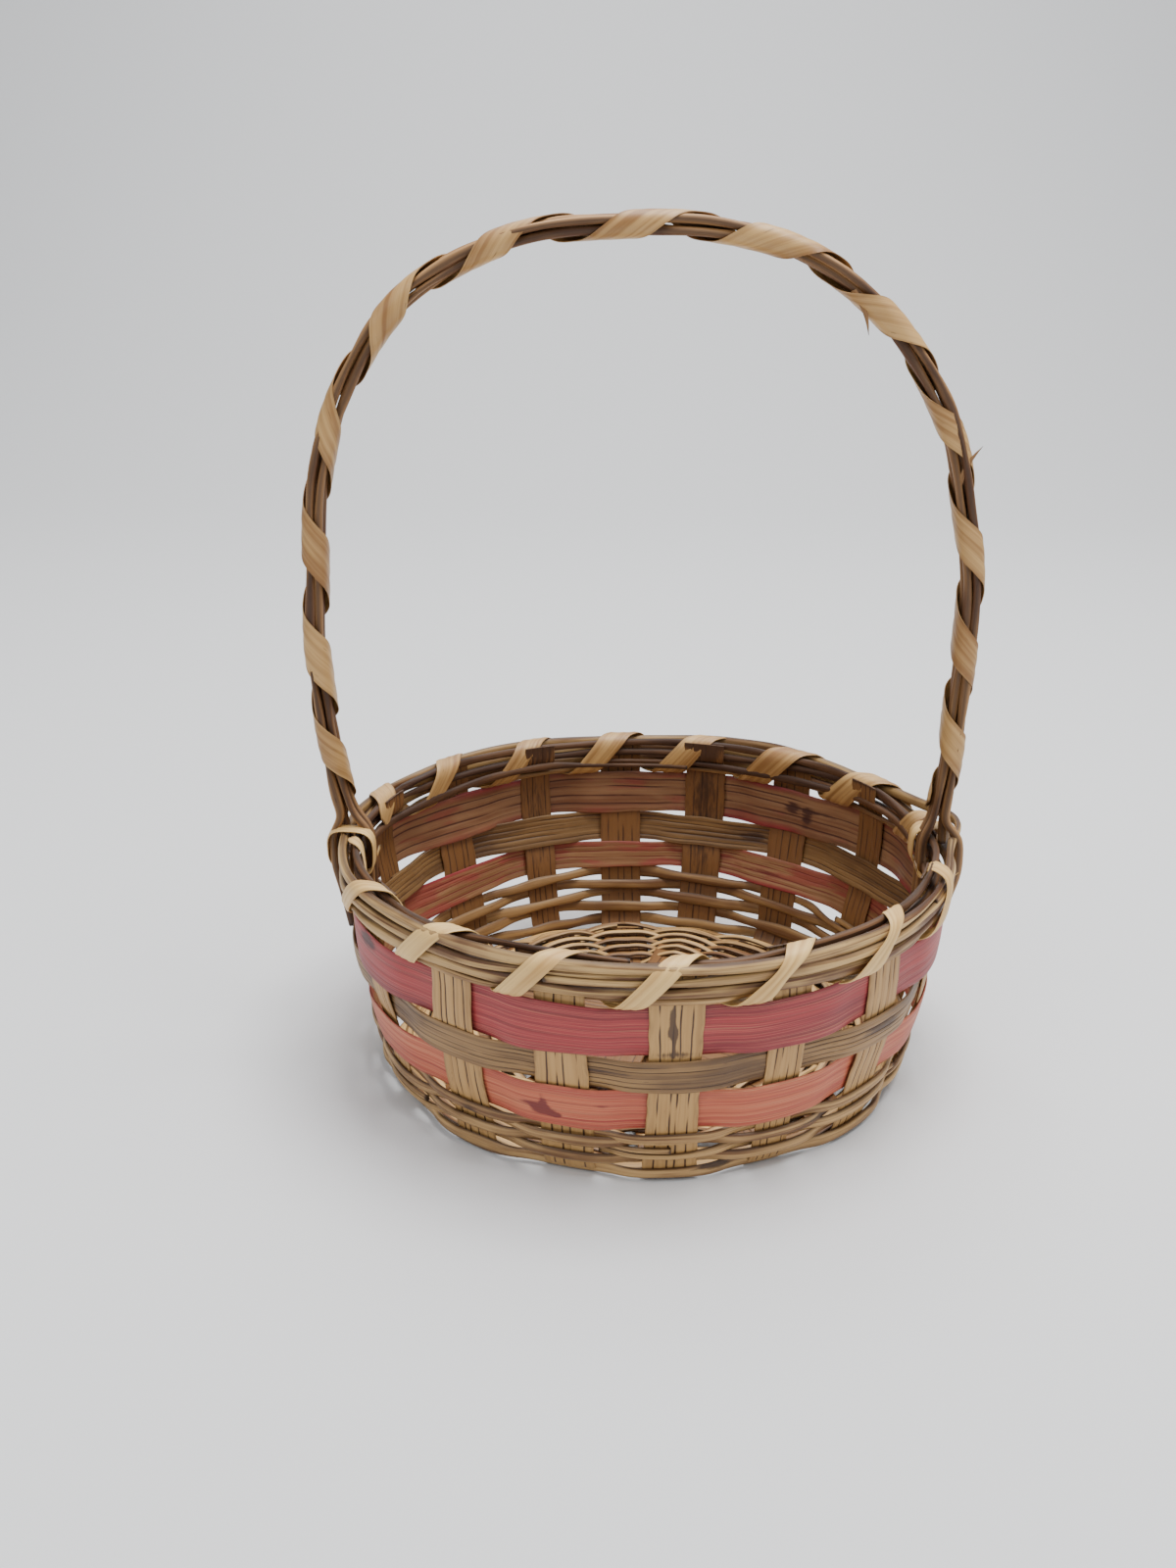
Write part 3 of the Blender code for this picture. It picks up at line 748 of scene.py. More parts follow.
@dataclass(frozen=True)
class Weave:
    """Where the uprights stand and how the wall rises; first and squeeze are in degrees."""

    widths: tuple[float, ...] = (0.0185, 0.0140, 0.0190, 0.0165, 0.0160, 0.0155, 0.0180, 0.0185)
    first: float = 5.4
    squeeze: float = 3.7
    heel_radius: float = 103 * MM
    rim_radius: float = 115 * MM
    flare: float = 1.15
    low: float = field(default_factory=lambda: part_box("wall_weaver_1")[0].z)
    high: float = field(default_factory=lambda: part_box("upper_dyed_band")[1].z)
    rim_low: float = field(default_factory=lambda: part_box("rim_weaver")[0].z)
    rim_top: float = field(default_factory=lambda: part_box("rim_outer_rod_3")[1].z)

    @property
    def strips(self) -> int:
        """Number of strips that cross the base."""
        return len(self.widths)

    @property
    def stakes(self) -> int:
        """Number of uprights."""
        return 2 * self.strips

    def azimuth(self, index: float) -> float:
        """Azimuth of an upright, or of a place between two.

        Args:
            index: number of the upright, with a share for a place between two.

        Returns:
            The azimuth in radians.
        """
        below = math.floor(index)
        share = index - below
        if share:
            return (1 - share) * self.azimuth(below) + share * self.azimuth(below + 1)
        even = math.radians(self.first) + 2 * math.pi * index / self.stakes
        return even - math.radians(self.squeeze) * math.sin(2 * even)

    def azimuths(self, index: np.ndarray) -> np.ndarray:
        """Azimuths at many upright numbers."""
        whole = np.arange(-self.stakes, 3 * self.stakes)
        return np.interp(index, whole, [self.azimuth(int(number)) for number in whole])

    def radius(self, height: np.ndarray) -> np.ndarray:
        """Distance from the axis to the middle of the uprights."""
        share = np.clip((height - self.low) / (self.high - self.low), 0, 1)
        return self.heel_radius + (self.rim_radius - self.heel_radius) * np.sin(
            np.pi / 2 * share ** self.flare)

    def slope(self, height: np.ndarray) -> np.ndarray:
        """Lean of the wall, outwards going up.

        Args:
            height: heights.

        Returns:
            The lean in radians.
        """
        reach = 0.5 * MM
        rise = self.radius(height + reach) - self.radius(height - reach)
        return np.arctan2(rise, 2 * reach)

    @staticmethod
    def sway(index: np.ndarray, side: Side, firmness: float = 2.0) -> np.ndarray:
        """In-and-out way of a strand: 1 outside, -1 inside, level at the uprights."""
        return side.value * np.tanh(firmness * np.cos(np.pi * index)) / math.tanh(firmness)


@dataclass(frozen=True)
class Run:
    """A strand's way round the wall: the values at its stations."""

    index: np.ndarray
    azimuth: np.ndarray
    early: np.ndarray
    late: np.ndarray
    tall: np.ndarray
    height: np.ndarray


@dataclass
class Strand:
    """A rod or splint that runs once round the wall and overlaps its own start.

    start and overlap are in uprights. drift is the size of its wandering up and down, breadth
    its height over that of its CAD node, and lift its rise over it. rear_rise and rear_loss lift
    and narrow it at the back of the wall.
    """

    name: str
    node: str
    finish: CaneFinish
    side: Side
    sway: float
    start: float
    overlap: float
    seed: int
    drift: float = 0.0
    breadth: float = 1.0
    lift: float = 0.0
    rear_rise: float = 0.0
    rear_loss: float = 0.0
    marks: tuple[Mark, ...] = ()
    stations: int = 460

    @staticmethod
    def rear(azimuth: np.ndarray) -> np.ndarray:
        """How far each azimuth belongs to the back of the wall, 0 to 1."""
        return ((1 - np.cos(azimuth)) / 2) ** 2.5

    def track(self, weave: Weave) -> Run:
        """Lay out the strand's run.

        Args:
            weave: the layout.

        Returns:
            The run.
        """
        low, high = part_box(self.node)
        index = np.linspace(self.start, self.start + weave.stakes + self.overlap, self.stations)
        azimuth = weave.azimuths(index)
        rear = self.rear(azimuth)
        height = (low.z + high.z) / 2 + self.lift + self.drift * Wander(self.seed + 1)(azimuth)
        tall = (high.z - low.z) * self.breadth * (1 - self.rear_loss * rear)
        return Run(index, azimuth, *laps(index, self.overlap), tall,
                   height + self.rear_rise * rear)

    def place(self, weave: Weave, run: Run, rise: Numbers, step: Numbers,
              section: Section) -> Loft:
        """Skin the strand.

        Args:
            weave: the layout.
            run: the strand's run.
            rise: what is added to its heights.
            step: what is added to its distances from the axis.
            section: its cross-section.

        Returns:
            The piece.
        """
        height = run.height + rise
        radius = weave.radius(height) + self.sway * weave.sway(run.index, self.side) + step
        lean = weave.slope(height)[:, None]
        out = radius[:, None] + section.depth * np.cos(lean) + section.up * np.sin(lean)
        level = height[:, None] + section.up * np.cos(lean) - section.depth * np.sin(lean)
        turn = np.broadcast_to(run.azimuth[:, None], level.shape)
        along = run_along(on_ring(run.azimuth, radius, height))
        stain = cut_ends(along) + sum(
            (mark.on(turn, float(np.mean(radius)), level) for mark in self.marks), 0 * level)
        loft = Loft(self.name)
        loft.skin(on_ring(turn, out, level), along, section, stain, self.seed * 0.37)
        return loft


@dataclass
class Rod(Strand):
    """Round-backed weaver."""

    swell: float = 0.10
    thickness: float = 2.4 * MM
    lap_loss: float = 0.42
    lap_rise: float = 0.33

    def build(self, weave: Weave) -> Loft:
        """Make the rod's mesh.

        Args:
            weave: the layout.

        Returns:
            The piece.
        """
        run = self.track(weave)
        swelling = 1 + self.swell * Wander(self.seed, 5, 30)(run.azimuth)
        lap = 1 - self.lap_loss * np.maximum(run.early, run.late)
        section = rod_section(run.tall * swelling * lap,
                              self.thickness * (2 - swelling) * (0.5 + 0.5 * lap))
        rise = (run.late - run.early) * run.tall * self.lap_rise
        return self.place(weave, run, rise, 0.0, section)


@dataclass
class Band(Strand):
    """Flat splint woven round the wall."""

    grooves: tuple[float, ...] = (0.22, 0.41, 0.63, 0.8)
    groove_depth: float = 0.09 * MM
    crown: float = 0.35 * MM
    thickness: float = 0.8 * MM
    lap_step: float = 0.45 * MM
    waver: float = 0.035

    def build(self, weave: Weave) -> Loft:
        """Make the band's mesh.

        Args:
            weave: the layout.

        Returns:
            The piece.
        """
        run = self.track(weave)
        wide = run.tall * (1 + self.waver * Wander(self.seed + 2, 3, 12)(run.azimuth))
        section = band_section(wide, self.thickness, self.grooves, self.groove_depth, self.crown,
                               run.azimuth, self.seed)
        return self.place(weave, run, 0.0, (run.late - run.early) * self.lap_step, section)


# ---------------------------------------------------------------- stakes and base


@dataclass
class Stakes:
    """Flat strips that cross under the base, stand up in the wall and end in the rim.

    Even uprights end among the rim's rods, even_end below its top. Odd ones turn in just under
    the inner rods, rise over odd_rise to stand odd_inset inside of them, and end odd_end below
    the rim's top.
    """

    weave: Weave
    thickness: float = 0.8 * MM
    groove_depth: float = 0.26 * MM
    crown: float = 0.3 * MM
    grooves: tuple[float, ...] = (0.2, 0.42, 0.6, 0.79)
    heel_bend: float = 2.8 * MM
    foot_length: float = 5.0 * MM
    foot_gap: float = 0.42 * MM
    ramp: float = 5.0 * MM
    layer_pitch: float = 1.1 * MM
    room: float = 2.0 * MM
    even_end: float = 2.5 * MM
    odd_turn: float = 0.2 * MM
    odd_rise: float = 4.8 * MM
    odd_inset: float = 5.2 * MM
    odd_end: float = 0.6 * MM
    middle_gap: float = 4.0 * MM
    toe: float = 0.6 * MM
    heel_rise: float = 1.2 * MM
    waver: float = 0.35 * MM
    station: float = 1.3 * MM
    bend: float = 3.2 * MM
    end_fade: float = 1.5 * MM
    marks: tuple[Mark, ...] = (
        Mark(4.3, 0.0640, 1.3 * MM, 2.6 * MM, 1.7), Mark(4.2, 0.0700, 0.6 * MM, 4.2 * MM, 1.3),
        Mark(4.4, 0.0590, 0.5 * MM, 3.6 * MM, 1.2), Mark(4.7, 0.0553, 8.0 * MM, 1.5 * MM, 0.62),
        Mark(165.0, 0.0860, 9.0 * MM, 7.0 * MM, 0.5), Mark(204.8, 0.0860, 9.0 * MM, 7.0 * MM, 0.4),
        Mark(165.0, 0.0550, 9.0 * MM, 40.0 * MM, 0.5),
        Mark(204.8, 0.0550, 9.0 * MM, 40.0 * MM, 0.36))

    def clear_radius(self, step: int) -> float:
        """Radius beyond which strips that are step places apart lie side by side."""
        widths, count = self.weave.widths, self.weave.strips
        return max(((widths[i % count] + widths[(i + step) % count]) / 2 + self.room)
                   / (self.weave.azimuth(i + step) - self.weave.azimuth(i))
                   for i in range(self.weave.stakes))

    @property
    def lift(self) -> float:
        """Height of the base's strips where they lie level."""
        low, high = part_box("base_weaver_7")
        return (low.z + high.z) / 2

    def height(self, strip: int, radius: float) -> float:
        """Height of a strip on the base; the strips lie in layers over the middle.

        Args:
            strip: number of the strip.
            radius: distance from the axis.

        Returns:
            The height.
        """
        layer = 4 * (strip & 1) + (strip & 2) + (strip >> 2)
        full = self.clear_radius(2)
        end = 2 * self.clear_radius(1) - full
        spread = float(np.interp(radius, (full, end), (1.0, 0.0)))
        return self.lift + (layer - (self.weave.strips - 1) / 2) * self.layer_pitch * spread

    def upright(self, index: int) -> list[tuple[float, float]]:
        """Line of one half strip from the middle of the base to its end in the rim.

        Args:
            index: number of the upright.

        Returns:
            Points as distance from the axis and height.
        """
        strip = index % self.weave.strips
        foot_out = self.weave.heel_radius - self.heel_bend
        foot_in = foot_out - self.foot_length
        line = [(radius, self.height(strip, radius))
                for radius in np.linspace(self.middle_gap, foot_in - self.ramp, 12)]
        rest = self.thickness / 2 + self.foot_gap
        line += [(foot_in, rest), (foot_out + self.toe, rest)]
        odd = index % 2 == 1
        top = (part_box("rim_inner_rod_1")[0].z - self.odd_turn if odd
               else self.weave.rim_top - self.even_end)
        levels = np.linspace(self.weave.low + self.heel_rise, top, 14)
        sway = self.waver * Wander(index + 40, 1, 4)(levels * 60)
        line += list(zip(self.weave.radius(levels) + sway, levels))
        if odd:
            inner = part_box("rim_inner_rod_3")[1].x - self.odd_inset
            line += [(inner, top + self.odd_rise), (inner, self.weave.rim_top - self.odd_end)]
        return line

    def build(self, coats: Coats) -> None:
        """Make the strips.

        Args:
            coats: the made finishes.
        """
        rise = np.array([0.0, 0.0, 1.0])
        for strip in range(self.weave.strips):
            far = [(-radius, height) for radius, height
                   in self.upright(strip + self.weave.strips)[::-1]]
            line = soften(np.array(far + self.upright(strip)), self.station, self.bend)
            tangent = tangents(line)
            along = run_along(line)
            turn = along * 22
            wide = self.weave.widths[strip] * (1 + 0.03 * Wander(strip, 2, 9)(turn / 3))
            shift = 0.03 * np.sin(np.arange(len(self.grooves)) * 2.1 + strip * 1.7)
            section = band_section(wide, self.thickness, tuple(self.grooves + shift),
                                   self.groove_depth, self.crown, turn, 300 + 17 * strip)
            azimuth = self.weave.azimuth(strip)
            out = np.array([math.sin(azimuth), -math.cos(azimuth), 0.0])
            side = np.array([math.cos(azimuth), math.sin(azimuth), 0.0])
            middle = line[:, :1] * out + line[:, 1:] * rise
            normal = tangent[:, 1:] * out - tangent[:, :1] * rise
            points = (middle[:, None, :] + section.depth[:, :, None] * normal[:, None, :]
                      + section.up[:, :, None] * side)
            place = np.arctan2(points[..., 0], -points[..., 1])
            stain = cut_ends(along, reach=self.end_fade) + sum(
                (mark.on(place, self.weave.rim_radius, points[..., 2]) for mark in self.marks),
                0 * place)
            loft = Loft(f"stake_splint_{strip + 1}")
            loft.skin(points, along, section, stain, 5.0 + strip * 1.31)
            loft.finish(coats, STAKE, f"stake_{strip + 1}")


@dataclass(frozen=True)
class HeelRound:
    """A round of cane in the bend between base and wall.

    middle is its distance from the axis, level the mean height of its middle, and dip how far it
    sinks between the uprights' feet and rises over them.
    """

    middle: float
    level: float
    dip: float


@dataclass
class BaseWeavers:
    """Rounds of cane that go over and under the strips of the base."""

    weave: Weave
    stakes: Stakes
    rows: int = 7
    rounds: int = 10
    stations: int = 400
    overlap: float = 0.6
    lap_loss: float = 0.4
    lap_shift: float = 0.3
    fill: float = 0.92
    thickness: float = 1.9 * MM
    wave: float = 2.05 * MM
    waver: float = 0.25 * MM
    first_start: float = 3.4
    next_start: float = 2.3
    heel_width: float = 4.5 * MM
    heel_thickness: float = 1.7 * MM
    bend: tuple[HeelRound, ...] = (
        HeelRound(91.6 * MM, 3.3 * MM, 1.2 * MM), HeelRound(94.6 * MM, 2.4 * MM, 0.95 * MM),
        HeelRound(97.8 * MM, 1.75 * MM, 0.6 * MM))

    def build(self, coats: Coats) -> None:
        """Make the rounds, one or two to a piece, each in opposite step to the next.

        Args:
            coats: the made finishes.
        """
        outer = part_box(f"base_weaver_{self.rows}")[1].x
        inner = 2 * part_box("base_weaver_1")[1].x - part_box("base_weaver_2")[1].x
        pitch = (outer - inner) / self.rounds
        for row in range(self.rows):
            loft = Loft(f"base_cane_{row + 1}")
            for count in range(self.rounds):
                if count * self.rows // self.rounds == row:
                    self.round(loft, inner + (count + 0.5) * pitch, pitch * self.fill, count)
            if row == self.rows - 1:
                for number, heel in enumerate(self.bend):
                    self.heel(loft, heel, self.rounds + number)
            loft.finish(coats, BASE_CANE, f"base_weaver_{row + 1}")

    def round(self, loft: Loft, middle: float, wide: float, count: int) -> None:
        """Add one round.

        Args:
            loft: the piece.
            middle: distance of the round from the axis.
            wide: width of the cane.
            count: number of the round from the innermost.
        """
        start = self.first_start + count * self.next_start
        index = np.linspace(start, start + self.weave.stakes + self.overlap, self.stations)
        azimuth = self.weave.azimuths(index)
        early, late = laps(index, self.overlap)
        lap = 1 - self.lap_loss * np.maximum(early, late)
        radius = middle + self.waver * Wander(count + 60)(azimuth)
        radius = radius + (late - early) * wide * self.lap_shift
        whole = np.arange(-self.weave.stakes, 4 * self.weave.stakes)
        levels = [self.stakes.height(int(i) % self.weave.strips, middle) for i in whole]
        side = Side.ODD if count % 2 == 0 else Side.EVEN
        height = np.interp(index, whole, levels) + self.wave * self.weave.sway(index, side, 1.2)
        swell = 1 + 0.1 * Wander(count + 80, 5, 30)(azimuth)
        section = rod_section(wide * swell * lap, self.thickness * (2 - swell), 8)
        self.lay(loft, azimuth, radius, height, section, count)

    def heel(self, loft: Loft, heel: HeelRound, count: int) -> None:
        """Add a round in the bend between base and wall, over every upright's foot.

        Args:
            loft: the piece.
            heel: the round's sizes.
            count: number of the round from the innermost.
        """
        start = count * self.next_start
        index = np.linspace(start, start + self.weave.stakes, self.stations)
        height = heel.level + heel.dip * np.cos(2 * np.pi * index)
        taper = np.clip(np.minimum(index - index[0], index[-1] - index) * 4 + 0.3, 0, 1)
        section = rod_section(self.heel_width * taper, self.heel_thickness * taper, 8)
        self.lay(loft, self.weave.azimuths(index), np.full(len(index), heel.middle), height,
                 section, count)

    @staticmethod
    def lay(loft: Loft, azimuth: np.ndarray, radius: np.ndarray, height: np.ndarray,
            section: Section, count: int) -> None:
        """Skin a round.

        Args:
            loft: the piece.
            azimuth: azimuth of every station.
            radius: distance of every station from the axis.
            height: height of every station.
            section: the cane's cross-section.
            count: number of the round from the innermost.
        """
        level = height[:, None] + section.depth
        turn = np.broadcast_to(azimuth[:, None], level.shape)
        along = np.concatenate([[0], np.cumsum(np.diff(azimuth) * float(np.mean(radius)))])
        loft.skin(on_ring(turn, radius[:, None] + section.up, level), along, section, 0.0,
                  20 + count * 0.77)


# ---------------------------------------------------------------- wall


@dataclass
class Wall:
    """Rows of cane at the foot of the wall, three splint bands and the thin rod over them."""

    weave: Weave
    rows: int = 5
    rod_sway: float = 1.65 * MM
    band_sway: float = 1.45 * MM

    def rods(self) -> list[Rod]:
        """List the rows at the foot of the wall.

        Returns:
            The rods, from the lowest up.
        """
        marks = {
            1: Mark(14, 0.0050, 9 * MM, 1.4 * MM, 0.9),
            3: Mark(21, 0.0120, 6 * MM, 1.2 * MM, 0.8),
            4: Mark(38, 0.0156, 16 * MM, 1.5 * MM, 0.9),
            5: Mark(325, 0.0190, 5 * MM, 1.2 * MM, 0.8),
        }
        lowest = {"drift": 0.15 * MM, "breadth": 1.55, "lift": -1.8 * MM}
        others = {"drift": 0.5 * MM, "breadth": 1.48}
        return [Rod(f"wall_cane_{row}", f"wall_weaver_{row}", WALL_CANE,
                    Side.EVEN if row % 2 else Side.ODD, self.rod_sway, 7.5 + 2.6 * row, 0.7,
                    10 + row, rear_rise=(1.5 * row - 0.7) * MM, rear_loss=-0.14,
                    marks=(marks[row],) if row in marks else (),
                    **(lowest if row == 1 else others)) for row in range(1, self.rows + 1)]

    def strands(self) -> list[Strand]:
        """List the wall's strands.

        Returns:
            The strands, from the lowest up.
        """
        return self.rods() + [
            Band("lower_splint", "lower_dyed_band", SALMON, Side.ODD, self.band_sway, 11.0, 1.0,
                 31, drift=0.25 * MM, rear_rise=4.3 * MM, rear_loss=0.32, marks=(
                     Mark(340.8, 0.0285, 4.2 * MM, 2.0 * MM, 1.2),
                     Mark(343.6, 0.0265, 2.2 * MM, 1.3 * MM, 1.0),
                     Mark(338.0, 0.0300, 5.5 * MM, 0.8 * MM, 0.6),
                     Mark(341.4, 0.0320, 1.2 * MM, 3.4 * MM, 0.7),
                     Mark(150.0, 0.0330, 16 * MM, 2.4 * MM, 0.5),
                     Mark(352, 0.0330, 4 * MM, 0.9 * MM, 0.5))),
            Band("natural_splint", "natural_band", NATURAL, Side.EVEN, self.band_sway, 10.0, 1.0,
                 33, drift=0.4 * MM, rear_rise=0.8 * MM, crown=0.6 * MM, groove_depth=0.22 * MM,
                 grooves=(0.18, 0.36, 0.52, 0.71, 0.85), marks=(
                     Mark(47, 0.0480, 15 * MM, 3.2 * MM, 0.7),
                     Mark(20, 0.0465, 16 * MM, 0.5 * MM, 0.9),
                     Mark(351, 0.0478, 15 * MM, 0.4 * MM, 0.9),
                     Mark(153, 0.0470, 7 * MM, 2.6 * MM, 0.8))),
            Band("upper_splint", "upper_dyed_band", ROSE, Side.ODD, 1.5 * MM, 9.0, 1.0, 37,
                 drift=0.3 * MM, marks=(
                     Mark(300, 0.0700, 7 * MM, 3.2 * MM, 0.9),
                     Mark(143, 0.0655, 4 * MM, 3.0 * MM, 0.8),
                     Mark(139, 0.0620, 3 * MM, 5.0 * MM, 0.7),
                     Mark(136, 0.0660, 9 * MM, 1.2 * MM, 0.6))),
            Rod("rim_weaver_cane", "rim_weaver", WALL_CANE, Side.EVEN, 1.6 * MM, 12.4, 0.7, 41,
                drift=0.3 * MM, breadth=1.1)]

    def build(self, coats: Coats) -> None:
        """Make every strand of the wall."""
        for strand in self.strands():
            strand.build(self.weave).finish(coats, strand.finish, strand.node)


# ---------------------------------------------------------------- wrapping strips

Placing = Callable[[np.ndarray, np.ndarray, np.ndarray], np.ndarray]


class Bundle:
    """Rounded outline round a bundle, on which a wrapping strip lies."""

    def __init__(self, half_out: float, half_up: float, squareness: float,
                 stations: int = 721) -> None:
        """Measure the outline.

        Args:
            half_out: half its size outwards.
            half_up: half its size upwards.
            squareness: 2 for an ellipse, more for a squarer outline.
            stations: points round it.
        """
        angle = np.linspace(-np.pi, np.pi, stations)
        power = 2 / squareness
        u = half_out * np.sign(np.cos(angle)) * np.abs(np.cos(angle)) ** power
        v = half_up * np.sign(np.sin(angle)) * np.abs(np.sin(angle)) ** power
        length = run_along(np.column_stack([u, v]))
        self.girth = float(length[-1])
        even = np.linspace(0, self.girth, stations)
        u, v = np.interp(even, length, u), np.interp(even, length, v)
        du, dv = np.gradient(u), np.gradient(v)
        du[[0, -1]] = (du[0] + du[-1]) / 2
        dv[[0, -1]] = (dv[0] + dv[-1]) / 2
        size = np.hypot(du, dv)
        self.even, self.outline = even, (u, v, dv / size, -du / size)

    def at(self, around: np.ndarray, lift: np.ndarray) -> tuple[np.ndarray, np.ndarray]:
        """Place on the outline.

        Args:
            around: distance round it, from its inner middle downwards and outwards.
            lift: height above it.

        Returns:
            Outward and upward coordinates.
        """
        wrapped = np.mod(around, self.girth)
        u, v, nu, nv = (np.interp(wrapped, self.even, values) for values in self.outline)
        return u + nu * lift, v + nv * lift


@dataclass
class Winding:
    """A strip wound round a bundle; turns run from the inner middle under and up outside.

    place turns distances along the bundle, outwards and upwards into points, and twists are the
    turn numbers at which the strip is twisted narrow, by nip over nip_length. The strip starts and
    ends tip_share as wide and reaches its full width within tip_length.
    """

    bundle: Bundle
    width: float
    place: Placing
    seed: int
    thickness: float = 0.6 * MM
    slack: float = 0.5 * MM
    columns: int = 9
    per_turn: int = 44
    twists: tuple[float, ...] = ()
    nip: float = 0.45
    nip_length: float = 0.16
    tip_share: float = 0.55
    tip_length: float = 5 * MM
    ripple: float = 0.12 * MM
    end_stain: float = 0.6
    end_fade: float = 1.0 * MM

    def path(self, turns: np.ndarray, along: np.ndarray) -> tuple[np.ndarray, np.ndarray]:
        """Follow the knots of a path smoothly.

        Args:
            turns: turn numbers at the knots.
            along: distances along the bundle at the same knots.

        Returns:
            Turn numbers and distances along the bundle at all stations.
        """
        turn = np.linspace(turns[0], turns[-1], int((turns[-1] - turns[0]) * self.per_turn))
        run = np.interp(turn, turns, along)
        taps = np.hanning(self.per_turn // 2)
        half = len(taps) // 2
        padded = np.pad(run, half, "reflect", reflect_type="odd")
        return turn, np.convolve(padded, taps / taps.sum(), "same")[half:][:len(turn)]

    def wind(self, loft: Loft, turns: np.ndarray, along: np.ndarray) -> None:
        """Skin the strip.

        Args:
            loft: the piece.
            turns: turn numbers at the path's knots.
            along: distances along the bundle at the same knots.
        """
        turn, run = self.path(turns, along)
        around = turn * self.bundle.girth
        d_around, d_run = np.gradient(around), np.gradient(run)
        size = np.hypot(d_around, d_run)
        share = np.linspace(-1, 1, self.columns)
        irregular = 1 + 0.10 * Wander(self.seed, 1, 6)(turn)
        for twist in self.twists:
            dent = np.exp(-((turn - twist) / self.nip_length) ** 2)
            irregular = irregular * (1 - self.nip * dent)
        tip = np.minimum(turn - turn[0], turn[-1] - turn) * self.bundle.girth
        taper = np.clip(self.tip_share + tip / self.tip_length, 0, 1)
        reach = np.outer(self.width / 2 * irregular * taper, share)
        s = around[:, None] - reach * (d_run / size)[:, None]
        a = run[:, None] + reach * (d_around / size)[:, None]
        curl = 0.5 + 0.5 * Wander(self.seed + 5, 2, 11)(turn)
        lift = self.slack * (0.3 + 0.5 * np.outer(curl, share ** 2))
        lift = lift + self.ripple * np.sin(share * 9 + self.seed)[None, :]
        thin = self.thickness * (1 - 0.5 * np.abs(share) ** 6)
        faces = []
        for height, order in ((lift + thin, 1), (lift, -1)):
            faces.append(self.place(a, *self.bundle.at(s, height))[:, ::order])
        length = np.concatenate([[0], np.cumsum(size[1:])])
        across = np.concatenate([share, 2.2 - share[::-1], [3.4]]) * self.width / 2
        section = Section(np.zeros((1, 1)), np.zeros((1, 1)), across,
                          np.abs(np.concatenate([share, share[::-1]])) * 0.9,
                          np.repeat([0.0, 1.0], self.columns))
        loft.skin(np.concatenate(faces, axis=1), length, section,
                  cut_ends(length, self.end_stain, self.end_fade), self.seed * 0.61)


# ---------------------------------------------------------------- rim


@dataclass(frozen=True)
class Loop:
    """Place where a rod bulges out: its azimuth and half width in degrees, and its reach."""

    azimuth: float
    spread: float
    reach: float

    def bulge(self, azimuth: np.ndarray) -> np.ndarray:
        """Reach at each azimuth in radians."""
        aside = np.mod(azimuth - math.radians(self.azimuth) + np.pi, 2 * np.pi) - np.pi
        return self.reach * np.exp(-(aside / math.radians(self.spread)) ** 2)


